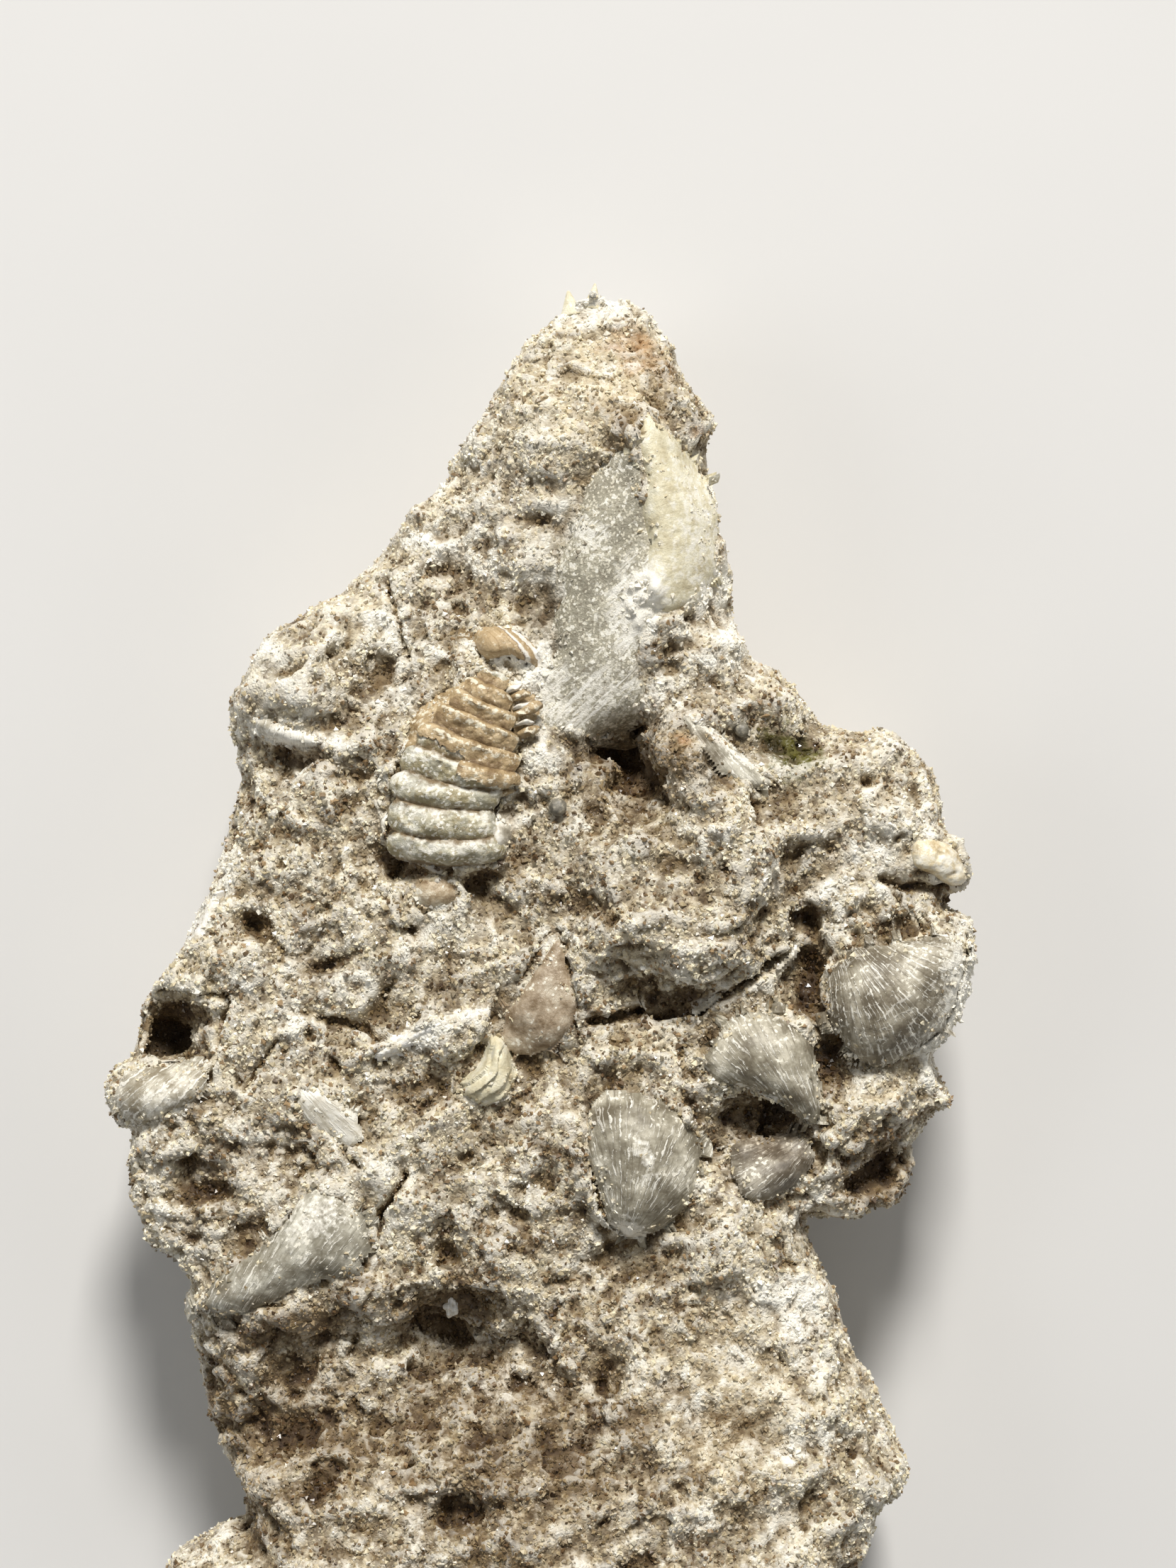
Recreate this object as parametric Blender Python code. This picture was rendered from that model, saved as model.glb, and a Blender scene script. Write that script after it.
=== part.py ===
"""Trilobite in a loose piece of shelly limestone, about 40 x 68 x 16 mm.

The piece lies on its flat underside with the fossil face up: +Z is up, +Y runs to the narrow peak,
and the origin is on the resting face, under the middle of the slab. Every size below is in millimetres.
The rock is one solid with a seat cut for each fossil. The fossils are the trilobite's head, its ribbed
thorax and its tail, and the shells that lie around it.
"""

import math

import bmesh
import bpy
from mathutils import Vector, noise
from mathutils.geometry import delaunay_2d_cdt

MM = 0.001

# The slab: the widest outline stands at the rim height, the fossil face is above it and the base is flat.
RIM_HEIGHT = 8.6
FACE_HEIGHT = 12.2
FACE_RISE_TO_FOOT = 0.03  # the face climbs this much for each mm towards the broad foot
FACE_ROUNDING = 3.4  # how far in from the outline the upper edge is rounded
BASE_ROUNDING = 5.5  # the same for the lower edge
FACE_SPACING = 1.3  # between the points of the face
BASE_SPACING = 2.6
EDGE_INSETS = (0.45, 1.1, 2.1)  # rings of points that carry the rounded upper edge
BASE_INSETS = (0.6, 1.9, 3.7)

# Roughness of broken limestone: size of its lumps and how far they stand out.
LUMP_SIZE = 4.2
LUMP_RISE = 0.95
CHIP_SIZE = 1.9
CHIP_RISE = 0.5
BASE_HOLLOW_SIZE = 7.0
BASE_HOLLOW_DEPTH = 1.5
BASE_FLAT_RADIUS = 4.0  # the underside has no hollows this close to the origin

# Each fossil sits in a seat of the rock with this clearance all round.
SEAT_GAP = 0.3
CUTTER_TOP = 25.0

# Outline of the slab seen from above, clockwise from the spiky tip of the peak.
PEAK = [
    (1.8, 33.8), (2.5, 34.0), (3.4, 33.5), (4.3, 33.6), (5.2, 33.1),
    (5.7, 32.2), (6.3, 31.4), (7.0, 30.0), (7.8, 28.7), (8.3, 28.0), (8.0, 27.0),
]
RIGHT_FLANK = [
    (7.95, 25.4), (8.4, 24.2), (8.6, 22.9), (9.1, 21.5), (9.1, 20.3), (9.0, 19.2), (9.6, 18.0),
    (9.8, 17.0), (10.4, 16.5), (11.3, 16.3), (12.0, 15.7), (12.4, 14.9), (13.3, 13.8),
]
RIGHT_LOBE = [
    (14.2, 13.8), (15.1, 13.6), (16.1, 13.8), (17.0, 13.5), (17.7, 12.6), (18.5, 11.7), (18.6, 10.6),
    (18.8, 9.4), (19.2, 8.5), (19.2, 7.3), (19.3, 6.2), (19.2, 5.4), (19.3, 4.4), (19.5, 3.3),
    (19.2, 2.0), (18.9, 0.3), (18.8, -0.8), (18.6, -1.8), (18.9, -2.8), (19.5, -3.7), (19.5, -4.3),
    (18.6, -4.7), (18.1, -5.6), (17.6, -6.1), (17.6, -7.3), (17.4, -8.6), (16.6, -9.3), (15.7, -9.1),
    (15.1, -9.6), (13.8, -9.5), (12.5, -9.4),
]
FOOT = [
    (12.6, -10.2), (13.1, -11.2), (13.6, -12.4), (14.1, -13.1), (14.3, -14.6), (14.8, -16.0),
    (15.5, -16.9), (15.8, -18.0), (16.6, -19.4), (17.2, -20.4), (17.5, -21.5), (17.1, -22.4),
    (15.9, -23.3), (15.6, -24.3), (15.2, -25.6), (14.4, -27.4), (12.3, -29.4), (9.9, -30.3),
    (7.9, -31.9), (4.6, -32.3), (1.2, -33.6), (-2.4, -33.2), (-6.0, -33.8), (-9.4, -32.5),
    (-12.6, -31.6), (-15.4, -29.5), (-17.6, -27.6), (-18.0, -26.2), (-17.3, -25.3), (-16.2, -24.7),
    (-14.8, -23.9), (-14.0, -23.8), (-13.95, -22.5), (-14.4, -21.0), (-15.2, -19.4), (-15.8, -18.0),
]
LEFT_LOBE = [
    (-16.2, -16.0), (-16.1, -14.6), (-16.7, -13.9), (-16.6, -12.8), (-17.3, -11.5), (-18.2, -10.8),
    (-18.8, -10.1), (-18.7, -9.4), (-19.3, -8.5), (-19.3, -7.2), (-19.5, -5.8), (-19.4, -4.6),
    (-19.5, -3.5), (-19.4, -2.6), (-19.2, -1.6), (-18.9, -0.3), (-18.9, 0.6), (-18.3, 1.8),
]
LEFT_FLANK = [
    (-17.4, 2.9), (-16.6, 4.1), (-16.2, 5.1), (-15.6, 5.9), (-15.4, 7.0), (-15.0, 8.2), (-14.6, 9.6),
    (-14.0, 11.3), (-14.2, 12.5), (-14.6, 13.6), (-14.7, 14.9), (-13.9, 16.5), (-12.9, 17.9),
    (-11.5, 18.9), (-10.3, 19.7), (-9.2, 20.0), (-8.0, 21.1), (-7.2, 22.4), (-6.0, 23.9),
    (-5.0, 24.8), (-4.2, 25.4), (-3.9, 26.7), (-3.3, 27.9), (-2.6, 28.9), (-1.9, 30.0),
    (-1.5, 30.9), (-1.0, 31.4), (-0.8, 32.1), (-0.2, 32.4), (0.5, 33.1), (1.1, 33.3),
]
OUTLINE = PEAK + RIGHT_FLANK + RIGHT_LOBE + FOOT + LEFT_LOBE + LEFT_FLANK

# Round forms of the face: centre x, y, radius along and across, turn in degrees, rise (a hollow is negative).
MOUNDS = {
    "crest of the peak": (5.7, 23.6, 1.7, 6.4, 5, 1.7),
    "peak falls to its tip": (2.5, 33.5, 5.0, 3.6, 0, -1.4),
    "left flank of the peak": (-4.5, 22.5, 3.0, 5.0, 35, -0.8),
    "shoulder swell": (-11.0, 16.5, 3.4, 2.6, 20, 1.1),
    "hollow beside the shoulder": (-7.6, 17.2, 1.7, 1.9, 0, -1.0),
    "groove under the shoulder": (-10.9, 12.2, 1.9, 0.45, -8, -1.1),
    "deep cavity": (4.5, 11.3, 1.0, 1.9, 18, -4.6),
    "mouth of the cavity": (3.4, 12.5, 1.5, 0.6, 25, -2.0),
    "shade under the crest": (6.2, 16.7, 1.5, 1.0, 20, -1.3),
    "hollow under the plate": (10.1, 10.4, 1.1, 0.5, -35, -1.2),
    "mossy hollow": (11.4, 12.6, 1.4, 0.7, -10, -1.1),
    "pit of the right lobe": (15.4, 11.1, 0.7, 0.6, 0, -1.0),
    "channel pit above": (12.4, 4.7, 0.9, 0.8, 0, -1.8),
    "channel pit middle": (12.5, 2.9, 0.8, 1.1, 0, -2.2),
    "channel pit below": (12.5, 1.0, 0.8, 0.8, 0, -1.7),
    "channel end": (13.5, -1.9, 0.6, 1.0, 10, -1.3),
    "crease under the hump": (5.4, 0.7, 2.6, 0.55, 12, -1.5),
    "crease of the crystal": (17.9, 6.1, 1.3, 0.4, -8, -0.9),
    "hollow under the fan": (10.3, -5.0, 2.1, 0.8, -22, -2.3),
    "dark corner of the lobe": (15.6, -7.1, 1.8, 1.5, 0, -2.8),
    "hole of the left lobe": (-17.3, -0.8, 0.95, 0.9, 0, -4.6),
    "pit of the left face": (-13.1, 4.7, 0.8, 0.6, -20, -1.5),
    "slot of the left face": (-8.9, -0.1, 1.4, 0.3, -6, -0.9),
    "ridge of broken shell": (-6.2, -1.0, 3.2, 0.8, 17, 0.9),
    "bedding groove above": (-16.4, -6.7, 2.2, 0.4, 3, -0.8),
    "bedding groove middle": (-15.9, -8.0, 2.4, 0.4, -4, -0.8),
    "bedding groove below": (-15.3, -9.9, 2.2, 0.45, -8, -1.0),
    "dark notch of the ledge": (-4.3, -10.6, 0.8, 0.8, 0, -1.9),
    "dark hollow of the foot": (-3.8, -14.7, 2.1, 1.2, 5, -2.7),
    "left pit of the foot": (-14.3, -19.0, 0.9, 0.6, 0, -1.4),
    "inner pit of the foot": (-10.2, -21.4, 0.8, 0.7, 0, -1.5),
    "brown hollow of the foot": (-3.6, -22.5, 1.8, 0.8, 0, -1.1),
    "right pit of the foot": (2.9, -16.9, 0.5, 0.5, 0, -1.0),
    "swell of the foot": (1.0, -24.5, 10.0, 5.5, 0, 1.6),
    "groove of the lower shell": (2.2, -8.4, 0.5, 1.3, 10, -0.9),
}

# Stepped forms of the face: corner points, rise, and the width of the step.
TERRACES = {
    "central hump": (
        [
            (4.7, 13.7), (7.3, 14.0), (9.0, 12.9), (11.1, 11.0), (12.0, 8.0), (11.9, 4.8), (10.6, 2.6),
            (8.0, 1.4), (5.0, 0.6), (2.5, 1.2), (1.4, 3.4), (1.5, 6.4), (3.2, 9.6),
        ],
        2.0, 2.2,
    ),
    "recess of the left lobe": ([(-19.0, 1.0), (-14.7, 1.1), (-15.2, -1.6), (-18.4, -2.1)], -2.0, 0.9),
    "step down to the foot": (
        [
            (-18.0, -14.4), (-13.2, -13.8), (-8.2, -12.3), (-5.8, -12.4), (-1.4, -12.4), (1.0, -13.4),
            (1.5, -17.5), (-4.0, -21.0), (-18.0, -21.0),
        ],
        -1.8, 1.5,
    ),
}

# Fossils that lie in the face: outline, height of the crown above the edge, depth below the edge.
CROWNED_FOSSILS = {
    "trilobite_head": (
        [
            (-2.95, 17.1), (-2.85, 17.8), (-2.2, 18.25), (-1.3, 18.15), (-0.6, 17.7), (-0.1, 17.0),
            (-0.1, 16.45), (-0.8, 16.6), (-1.6, 16.9), (-2.3, 16.65),
        ],
        0.95, 1.6,
    ),
    "trilobite_tail": (
        [
            (-6.35, 6.1), (-5.9, 6.45), (-5.0, 6.45), (-4.3, 6.3), (-3.8, 5.9), (-3.9, 5.3),
            (-4.4, 4.95), (-5.3, 5.15), (-6.2, 5.4),
        ],
        0.55, 1.3,
    ),
    "brachiopod_right": (
        [
            (13.2, 0.4), (13.5, 2.0), (14.2, 3.5), (16.2, 4.0), (18.2, 4.6), (19.7, 4.5), (20.0, 3.3),
            (19.7, 1.9), (19.1, 0.2), (18.2, -0.9), (16.8, -1.6), (15.5, -2.2), (14.2, -1.3),
        ],
        1.5, 2.6,
    ),
    "brachiopod_fan": (
        [
            (8.1, -0.6), (9.2, 0.0), (10.8, 0.1), (12.2, -0.6), (13.0, -2.0), (13.2, -3.6), (12.9, -4.8),
            (11.4, -4.3), (9.9, -3.3), (8.4, -2.9), (7.6, -2.0),
        ],
        1.0, 2.2,
    ),
    "brachiopod_fan_base": (
        [(9.7, -6.5), (11.0, -6.2), (12.6, -6.0), (12.4, -7.1), (11.4, -8.0), (10.0, -8.3), (9.2, -7.6)],
        0.35, 1.5,
    ),
    "brachiopod_oval": (
        [
            (3.2, -3.3), (4.6, -3.2), (6.1, -3.9), (7.1, -5.2), (7.3, -6.8), (6.7, -8.4), (5.4, -9.6),
            (4.0, -9.9), (3.0, -9.2), (2.5, -7.6), (2.4, -5.6), (2.6, -4.1),
        ],
        1.3, 2.4,
    ),
    "shell_crescent": (
        [
            (-15.9, -13.5), (-13.7, -13.1), (-11.6, -12.2), (-9.6, -11.6), (-8.4, -11.2), (-8.1, -9.7),
            (-8.6, -8.5), (-10.3, -7.9), (-11.5, -8.9), (-12.8, -10.5), (-14.4, -12.0),
        ],
        0.8, 1.8,
    ),
    "shell_fluted": (
        [
            (-20.0, -3.5), (-19.8, -2.7), (-18.9, -2.3), (-17.2, -2.3), (-15.8, -2.5), (-15.6, -3.4),
            (-16.4, -4.3), (-18.0, -4.9), (-19.5, -4.7),
        ],
        0.9, 2.2,
    ),
    "shell_grey_valve": (
        [
            (1.0, 22.9), (2.2, 24.4), (3.6, 25.0), (4.3, 24.6), (4.5, 22.6), (4.5, 20.6), (3.9, 19.2),
            (4.3, 17.6), (4.8, 15.8), (4.6, 14.7), (3.0, 14.0), (1.7, 14.3), (0.9, 16.0), (0.7, 18.5),
            (0.8, 20.8),
        ],
        0.35, 1.6,
    ),
    "shell_pale_flake": (
        [
            (4.9, 26.9), (5.8, 26.8), (6.6, 25.6), (7.1, 24.0), (7.3, 22.0), (7.0, 20.6), (6.4, 19.3),
            (5.2, 18.9), (4.6, 19.6), (4.9, 20.8), (5.0, 23.0), (4.9, 24.9),
        ],
        0.35, 1.5,
    ),
    "shell_white_rim": (
        [
            (-13.4, 13.9), (-12.4, 13.5), (-11.2, 13.5), (-10.0, 13.6), (-9.5, 13.1), (-10.4, 12.7),
            (-11.6, 12.6), (-12.7, 12.9),
        ],
        0.4, 1.3,
    ),
    "shell_brown_spall": (
        [
            (0.2, 4.0), (1.0, 4.1), (1.3, 2.7), (1.7, 1.2), (1.6, 0.2), (1.9, -0.9), (0.8, -1.5),
            (-0.4, -1.2), (-0.7, -0.3), (-1.7, 0.1), (-1.7, 1.1), (-0.8, 2.1),
        ],
        0.5, 1.6,
    ),
    "shell_small_fan": (
        [(-2.0, -0.7), (-1.5, -1.2), (-1.3, -2.3), (-1.8, -3.2), (-2.8, -3.6), (-3.6, -3.2), (-3.0, -2.3), (-2.3, -1.6)],
        0.45, 1.3,
    ),
    "shell_white_shard": (
        [(-10.3, -2.6), (-9.3, -2.9), (-8.2, -4.0), (-7.5, -5.0), (-8.4, -5.1), (-9.5, -4.4), (-10.3, -3.6)],
        0.4, 1.3,
    ),
    "calcite_crystal": (
        [(17.4, 8.3), (18.5, 8.4), (19.5, 7.8), (20.0, 6.5), (19.2, 6.2), (18.2, 6.8), (17.4, 7.2)],
        0.7, 2.2,
    ),
}
CROWN_RINGS = (0.84, 0.5)  # how far in each ring of a crowned fossil is drawn towards its middle
SMOOTH_STEPS = 2  # points between two corners of a fossil's outline

# Ribs of the thorax from head to tail: left end, right end. Each rib is a rounded bar across the body.
RIBS = [
    ((-2.95, 16.05), (-1.2, 15.6)),
    ((-3.4, 15.5), (-1.0, 14.85)),
    ((-4.1, 14.95), (-0.6, 13.95)),
    ((-4.9, 14.3), (-0.75, 13.05)),
    ((-5.6, 13.6), (-0.95, 12.15)),
    ((-6.3, 12.45), (-0.95, 11.25)),
    ((-6.95, 11.25), (-1.7, 10.6)),
    ((-7.0, 9.75), (-2.0, 9.4)),
    ((-7.2, 8.35), (-1.3, 8.1)),
]
RIB_SAG = 0.35  # the last ribs bow this far towards the tail in their middle
RIB_RISE = 0.42  # crest of a rib above the grooves beside it
THORAX_CROWN = 1.05  # middle of the body above its sides
THORAX_DEPTH = 1.8
THORAX_COLUMNS = 12
ROWS_PER_RIB = 4

# Thin plate of shell that stands on edge beside the hump, seen as a pale line.
PLATE_PATH = [(7.6, 13.6), (8.6, 12.9), (9.6, 12.1), (10.5, 11.4), (11.1, 10.9)]
PLATE_WIDTH = 0.7
PLATE_RISE = 0.5
PLATE_DEPTH = 1.6


def material(name, colour, roughness):
    """A plain finish with no metal in it."""
    made = bpy.data.materials.new(name)
    made.use_nodes = True
    shader = made.node_tree.nodes["Principled BSDF"]
    shader.inputs["Base Color"].default_value = (*colour, 1.0)
    shader.inputs["Roughness"].default_value = roughness
    shader.inputs["Metallic"].default_value = 0.0
    return made


def smoothstep(t):
    t = min(1.0, max(0.0, t))
    return t * t * (3 - 2 * t)


def outline_distance(x, y, points):
    """Distance from a point to a closed outline, positive inside it."""
    nearest = 1e9
    inside = False
    for (ax, ay), (bx, by) in zip(points, points[1:] + points[:1]):
        dx, dy = bx - ax, by - ay
        along = ((x - ax) * dx + (y - ay) * dy) / (dx * dx + dy * dy)
        along = min(1.0, max(0.0, along))
        nearest = min(nearest, math.hypot(x - ax - along * dx, y - ay - along * dy))
        if (ay > y) != (by > y) and x < ax + (y - ay) / (by - ay) * dx:
            inside = not inside
    return nearest if inside else -nearest


def widened(points, gap):
    """An outline moved outwards by a gap, corner by corner, whichever way round it runs."""
    count = len(points)
    area = sum(a[0] * b[1] - b[0] * a[1] for a, b in zip(points, points[1:] + points[:1]))
    turn = 1.0 if area > 0 else -1.0
    found = []
    for i in range(count):
        before, here, after = (Vector(points[(i + k) % count]) for k in (-1, 0, 1))
        into, out = (here - before).normalized(), (after - here).normalized()
        normal = Vector((into.y + out.y, -into.x - out.x)).normalized() * turn
        lean = max(0.6, normal.dot(Vector((into.y, -into.x)) * turn))
        found.append(here + normal * gap / lean)
    return found


def mound(x, y, centre_x, centre_y, radius_x, radius_y, turn, rise):
    """A round rise or hollow that fades out over about twice its radius."""
    angle = math.radians(turn)
    dx, dy = x - centre_x, y - centre_y
    along = (dx * math.cos(angle) + dy * math.sin(angle)) / radius_x
    across = (dy * math.cos(angle) - dx * math.sin(angle)) / radius_y
    return rise * math.exp(-(along * along + across * across))


def open_face(x, y):
    """Height of the fossil face away from the slab's edge, without its roughness."""
    height = FACE_HEIGHT - FACE_RISE_TO_FOOT * y
    height += sum(mound(x, y, *form) for form in MOUNDS.values())
    for corners, rise, step in TERRACES.values():
        height += rise * smoothstep(outline_distance(x, y, corners) / step)
    return height


def face_height(x, y, inset):
    """The same with the rounded upper edge, which meets the rim upright."""
    t = min(1.0, max(0.0, inset / FACE_ROUNDING))
    return RIM_HEIGHT + (open_face(x, y) - RIM_HEIGHT) * math.sqrt(1 - (1 - t) ** 2)


def base_height(x, y, inset):
    """Underside: rounded up to the rim, flat below, with shallow hollows between the flats."""
    t = min(1.0, max(0.0, inset / BASE_ROUNDING))
    edge = RIM_HEIGHT * (1 - math.sqrt(1 - (1 - t) ** 2)) ** 1.2
    hollow = noise.noise(Vector((x, y, 40.0)) / BASE_HOLLOW_SIZE) - 0.12
    clear_of_middle = smoothstep((math.hypot(x, y) - BASE_FLAT_RADIUS) / BASE_FLAT_RADIUS)
    return edge + BASE_HOLLOW_DEPTH * max(0.0, hollow) * clear_of_middle


def roughness(x, y, z):
    """How far the broken surface stands in or out at a point."""
    lump = noise.noise(Vector((x, y, z)) / LUMP_SIZE)
    chip = noise.noise(Vector((x, y, z + 90.0)) / CHIP_SIZE)
    return LUMP_RISE * lump + CHIP_RISE * chip


def inset_ring(points, inset, spacing):
    """Points a given distance inside an outline, about one spacing apart, kept clear of its far sides."""
    found = []
    for (ax, ay), (bx, by) in zip(points, points[1:] + points[:1]):
        length = math.hypot(bx - ax, by - ay)
        steps = max(1, round(length / spacing))
        for step in range(steps):
            share = (step + 0.5) / steps
            x = ax + (bx - ax) * share + (by - ay) / length * inset
            y = ay + (by - ay) * share - (bx - ax) / length * inset
            if outline_distance(x, y, points) > inset * 0.93:
                if all(math.hypot(x - p, y - q) > spacing * 0.6 for p, q in found):
                    found.append((x, y))
    return found


def lattice(points, inset, spacing):
    """Points of a triangular lattice inside an outline, each nudged a little off its place."""
    low_x, high_x = min(p[0] for p in points), max(p[0] for p in points)
    low_y, high_y = min(p[1] for p in points), max(p[1] for p in points)
    found = []
    rows = int((high_y - low_y) / (spacing * 0.866)) + 1
    for row in range(rows):
        y = low_y + row * spacing * 0.866
        for column in range(int((high_x - low_x) / spacing) + 1):
            x = low_x + (column + 0.5 * (row % 2)) * spacing
            nudge = noise.noise_vector(Vector((x * 0.9, y * 0.9, 5.0))) * spacing * 0.35
            if outline_distance(x + nudge.x, y + nudge.y, points) > inset + spacing * 0.55:
                found.append((x + nudge.x, y + nudge.y))
    return found


def slab_side(bm, rim, insets, spacing, height, upward):
    """Fills the outline with triangles over its own lattice and sets each point's height."""
    places = [(v.co.x / MM, v.co.y / MM) for v in rim]
    inner = [
        (p.x, p.y) for p in widened(OUTLINE, -insets[0])
        if outline_distance(p.x, p.y, OUTLINE) > insets[0] * 0.9
    ]
    for inset in insets[1:]:
        inner += inset_ring(OUTLINE, inset, max(spacing * 0.8, inset * 0.5))
    inner += lattice(OUTLINE, insets[-1], spacing)
    border = [(i, (i + 1) % len(rim)) for i in range(len(rim))]
    flat = [Vector(p) for p in places + inner]
    points, _, faces, origins, _, _ = delaunay_2d_cdt(flat, border, [], 1, 1e-5)
    made = []
    for point, origin in zip(points, origins):
        rim_index = next((i for i in origin if i < len(rim)), None)
        if rim_index is not None:
            made.append(rim[rim_index])
            continue
        x, y = point
        inset = outline_distance(x, y, OUTLINE)
        made.append(bm.verts.new((x * MM, y * MM, height(x, y, inset) * MM)))
    for face in faces:
        corners = [made[i] for i in face]
        bm.faces.new(corners if upward else corners[::-1])


def rough_face(x, y, inset):
    height = face_height(x, y, inset)
    return height + roughness(x, y, height) * smoothstep(0.4 + inset / FACE_ROUNDING)


def rough_base(x, y, inset):
    height = base_height(x, y, inset)
    return max(0.0, height + roughness(x, y, height) * smoothstep(height / 3.0))


def add_matrix(finish):
    """The rock: one closed mesh whose upper and lower sides meet along the rim."""
    bm = bmesh.new()
    rim = []
    for x, y in OUTLINE:
        height = RIM_HEIGHT + 1.2 * noise.noise(Vector((x, y, 12.0)) / LUMP_SIZE)
        rim.append(bm.verts.new((x * MM, y * MM, height * MM)))
    slab_side(bm, rim, EDGE_INSETS, FACE_SPACING, rough_face, True)
    slab_side(bm, rim, BASE_INSETS, BASE_SPACING, rough_base, False)
    return link("limestone_matrix", bm, finish)


def link(name, bm, finish):
    """Closes a mesh's books and puts it in the scene as one object."""
    bmesh.ops.recalc_face_normals(bm, faces=bm.faces)
    mesh = bpy.data.meshes.new(name)
    bm.to_mesh(mesh)
    bm.free()
    made = bpy.data.objects.new(name, mesh)
    bpy.context.scene.collection.objects.link(made)
    if finish:
        mesh.materials.append(finish)
        mesh.shade_smooth()
        mesh.set_sharp_from_angle(angle=math.radians(40))
    return made


def rounded_outline(corners):
    """A closed smooth curve through the corners, with a few points between each two."""
    count = len(corners)
    found = []
    for i in range(count):
        before, start, end, after = (Vector(corners[(i + k) % count]) for k in (-1, 0, 1, 2))
        for step in range(SMOOTH_STEPS):
            t = step / SMOOTH_STEPS
            found.append(
                0.5 * (
                    2 * start
                    + (end - before) * t
                    + (2 * before - 5 * start + 4 * end - after) * t * t
                    + (3 * start - before - 3 * end + after) * t ** 3
                )
            )
    return [(p.x, p.y) for p in found]


def bed_plane(points):
    """Centre height and the two slopes of the plane on which a fossil lies, fitted to the face below it."""
    middle_x = sum(p[0] for p in points) / len(points)
    middle_y = sum(p[1] for p in points) / len(points)
    sums = [0.0] * 6
    for x, y in points:
        u, v = x - middle_x, y - middle_y
        inset = max(0.7, outline_distance(x, y, OUTLINE))
        z = face_height(x, y, inset)
        for k, term in enumerate((z, u * u, v * v, u * v, u * z, v * z)):
            sums[k] += term
    height, uu, vv, uv, uz, vz = sums
    spread = uu * vv - uv * uv
    slope_x = (uz * vv - vz * uv) / spread
    slope_y = (vz * uu - uz * uv) / spread
    return middle_x, middle_y, height / len(points), slope_x, slope_y


def bed_height(plane, x, y):
    middle_x, middle_y, height, slope_x, slope_y = plane
    return height + slope_x * (x - middle_x) + slope_y * (y - middle_y)


def skirt(bm, ring, depth):
    """Walls from an edge ring down to a flat bottom, which closes the solid."""
    lowest = min(v.co.z for v in ring) - depth * MM
    below = [bm.verts.new((v.co.x, v.co.y, lowest)) for v in ring]
    for i in range(len(ring)):
        j = (i + 1) % len(ring)
        bm.faces.new((ring[i], ring[j], below[j], below[i]))
    bm.faces.new(below)
    return lowest / MM


def add_crowned_fossil(name, corners, crown, depth, finish):
    """A shell or plate: a smooth dome over its outline, on a plug that fills its seat."""
    edge = rounded_outline(corners)
    plane = bed_plane(edge)
    middle = plane[0], plane[1]
    bm = bmesh.new()
    rings = []
    for scale in (1.0, *CROWN_RINGS):
        ring = []
        for x, y in edge:
            px = middle[0] + (x - middle[0]) * scale
            py = middle[1] + (y - middle[1]) * scale
            z = bed_height(plane, px, py) + 0.12 + crown * math.sqrt(1 - scale * scale)
            ring.append(bm.verts.new((px * MM, py * MM, z * MM)))
        rings.append(ring)
    for outer, inner in zip(rings, rings[1:]):
        for i in range(len(edge)):
            j = (i + 1) % len(edge)
            bm.faces.new((outer[i], outer[j], inner[j], inner[i]))
    top = bm.verts.new((middle[0] * MM, middle[1] * MM, (plane[2] + 0.12 + crown) * MM))
    for i in range(len(edge)):
        bm.faces.new((rings[-1][i], rings[-1][(i + 1) % len(edge)], top))
    lowest = skirt(bm, rings[0], depth)
    return link(name, bm, finish), edge, lowest


def rib_line(index):
    """Left end, right end and sag of a rib, where index may fall between two ribs."""
    low = min(len(RIBS) - 2, max(0, int(math.floor(index))))
    share = index - low
    ends = []
    for side in (0, 1):
        start, end = Vector(RIBS[low][side]), Vector(RIBS[low + 1][side])
        ends.append(start + (end - start) * share)
    return ends[0], ends[1], RIB_SAG * smoothstep(index / (len(RIBS) - 1))


def add_thorax(finish):
    """The ribbed body: rounded bars side by side over one long swell, on a plug that fills its seat."""
    rows = (len(RIBS)) * ROWS_PER_RIB + 1
    spots = []
    for row in range(rows):
        index = row / ROWS_PER_RIB - 0.5
        left, right, sag = rib_line(index)
        line = []
        for column in range(THORAX_COLUMNS + 1):
            across = column / THORAX_COLUMNS
            place = left + (right - left) * across
            arch = 4 * across * (1 - across)
            line.append((place.x, place.y - sag * arch, index, arch))
        spots.append(line)
    border = [(x, y) for x, y, _, _ in spots[0]]
    border += [(line[-1][0], line[-1][1]) for line in spots[1:-1]]
    border += [(x, y) for x, y, _, _ in reversed(spots[-1])]
    border += [(line[0][0], line[0][1]) for line in reversed(spots[1:-1])]
    plane = bed_plane(border)
    bm = bmesh.new()
    grid = []
    for line in spots:
        made = []
        for x, y, index, arch in line:
            ends = min(1.0, (index + 0.5) / 1.2, (len(RIBS) - 0.5 - index) / 1.2)
            swell = THORAX_CROWN * math.sqrt(max(0.0, arch)) * smoothstep(0.35 + 0.65 * ends)
            rib = RIB_RISE * (0.5 + 0.5 * math.cos(2 * math.pi * index)) * (0.25 + 0.75 * math.sqrt(arch))
            z = bed_height(plane, x, y) + 0.1 + swell + rib
            made.append(bm.verts.new((x * MM, y * MM, z * MM)))
        grid.append(made)
    for upper, lower in zip(grid, grid[1:]):
        for i in range(THORAX_COLUMNS):
            bm.faces.new((upper[i], upper[i + 1], lower[i + 1], lower[i]))
    ring = grid[0] + [line[-1] for line in grid[1:-1]] + grid[-1][::-1]
    ring += [line[0] for line in reversed(grid[1:-1])]
    lowest = skirt(bm, ring, THORAX_DEPTH)
    return link("trilobite_thorax", bm, finish), border, lowest


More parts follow.
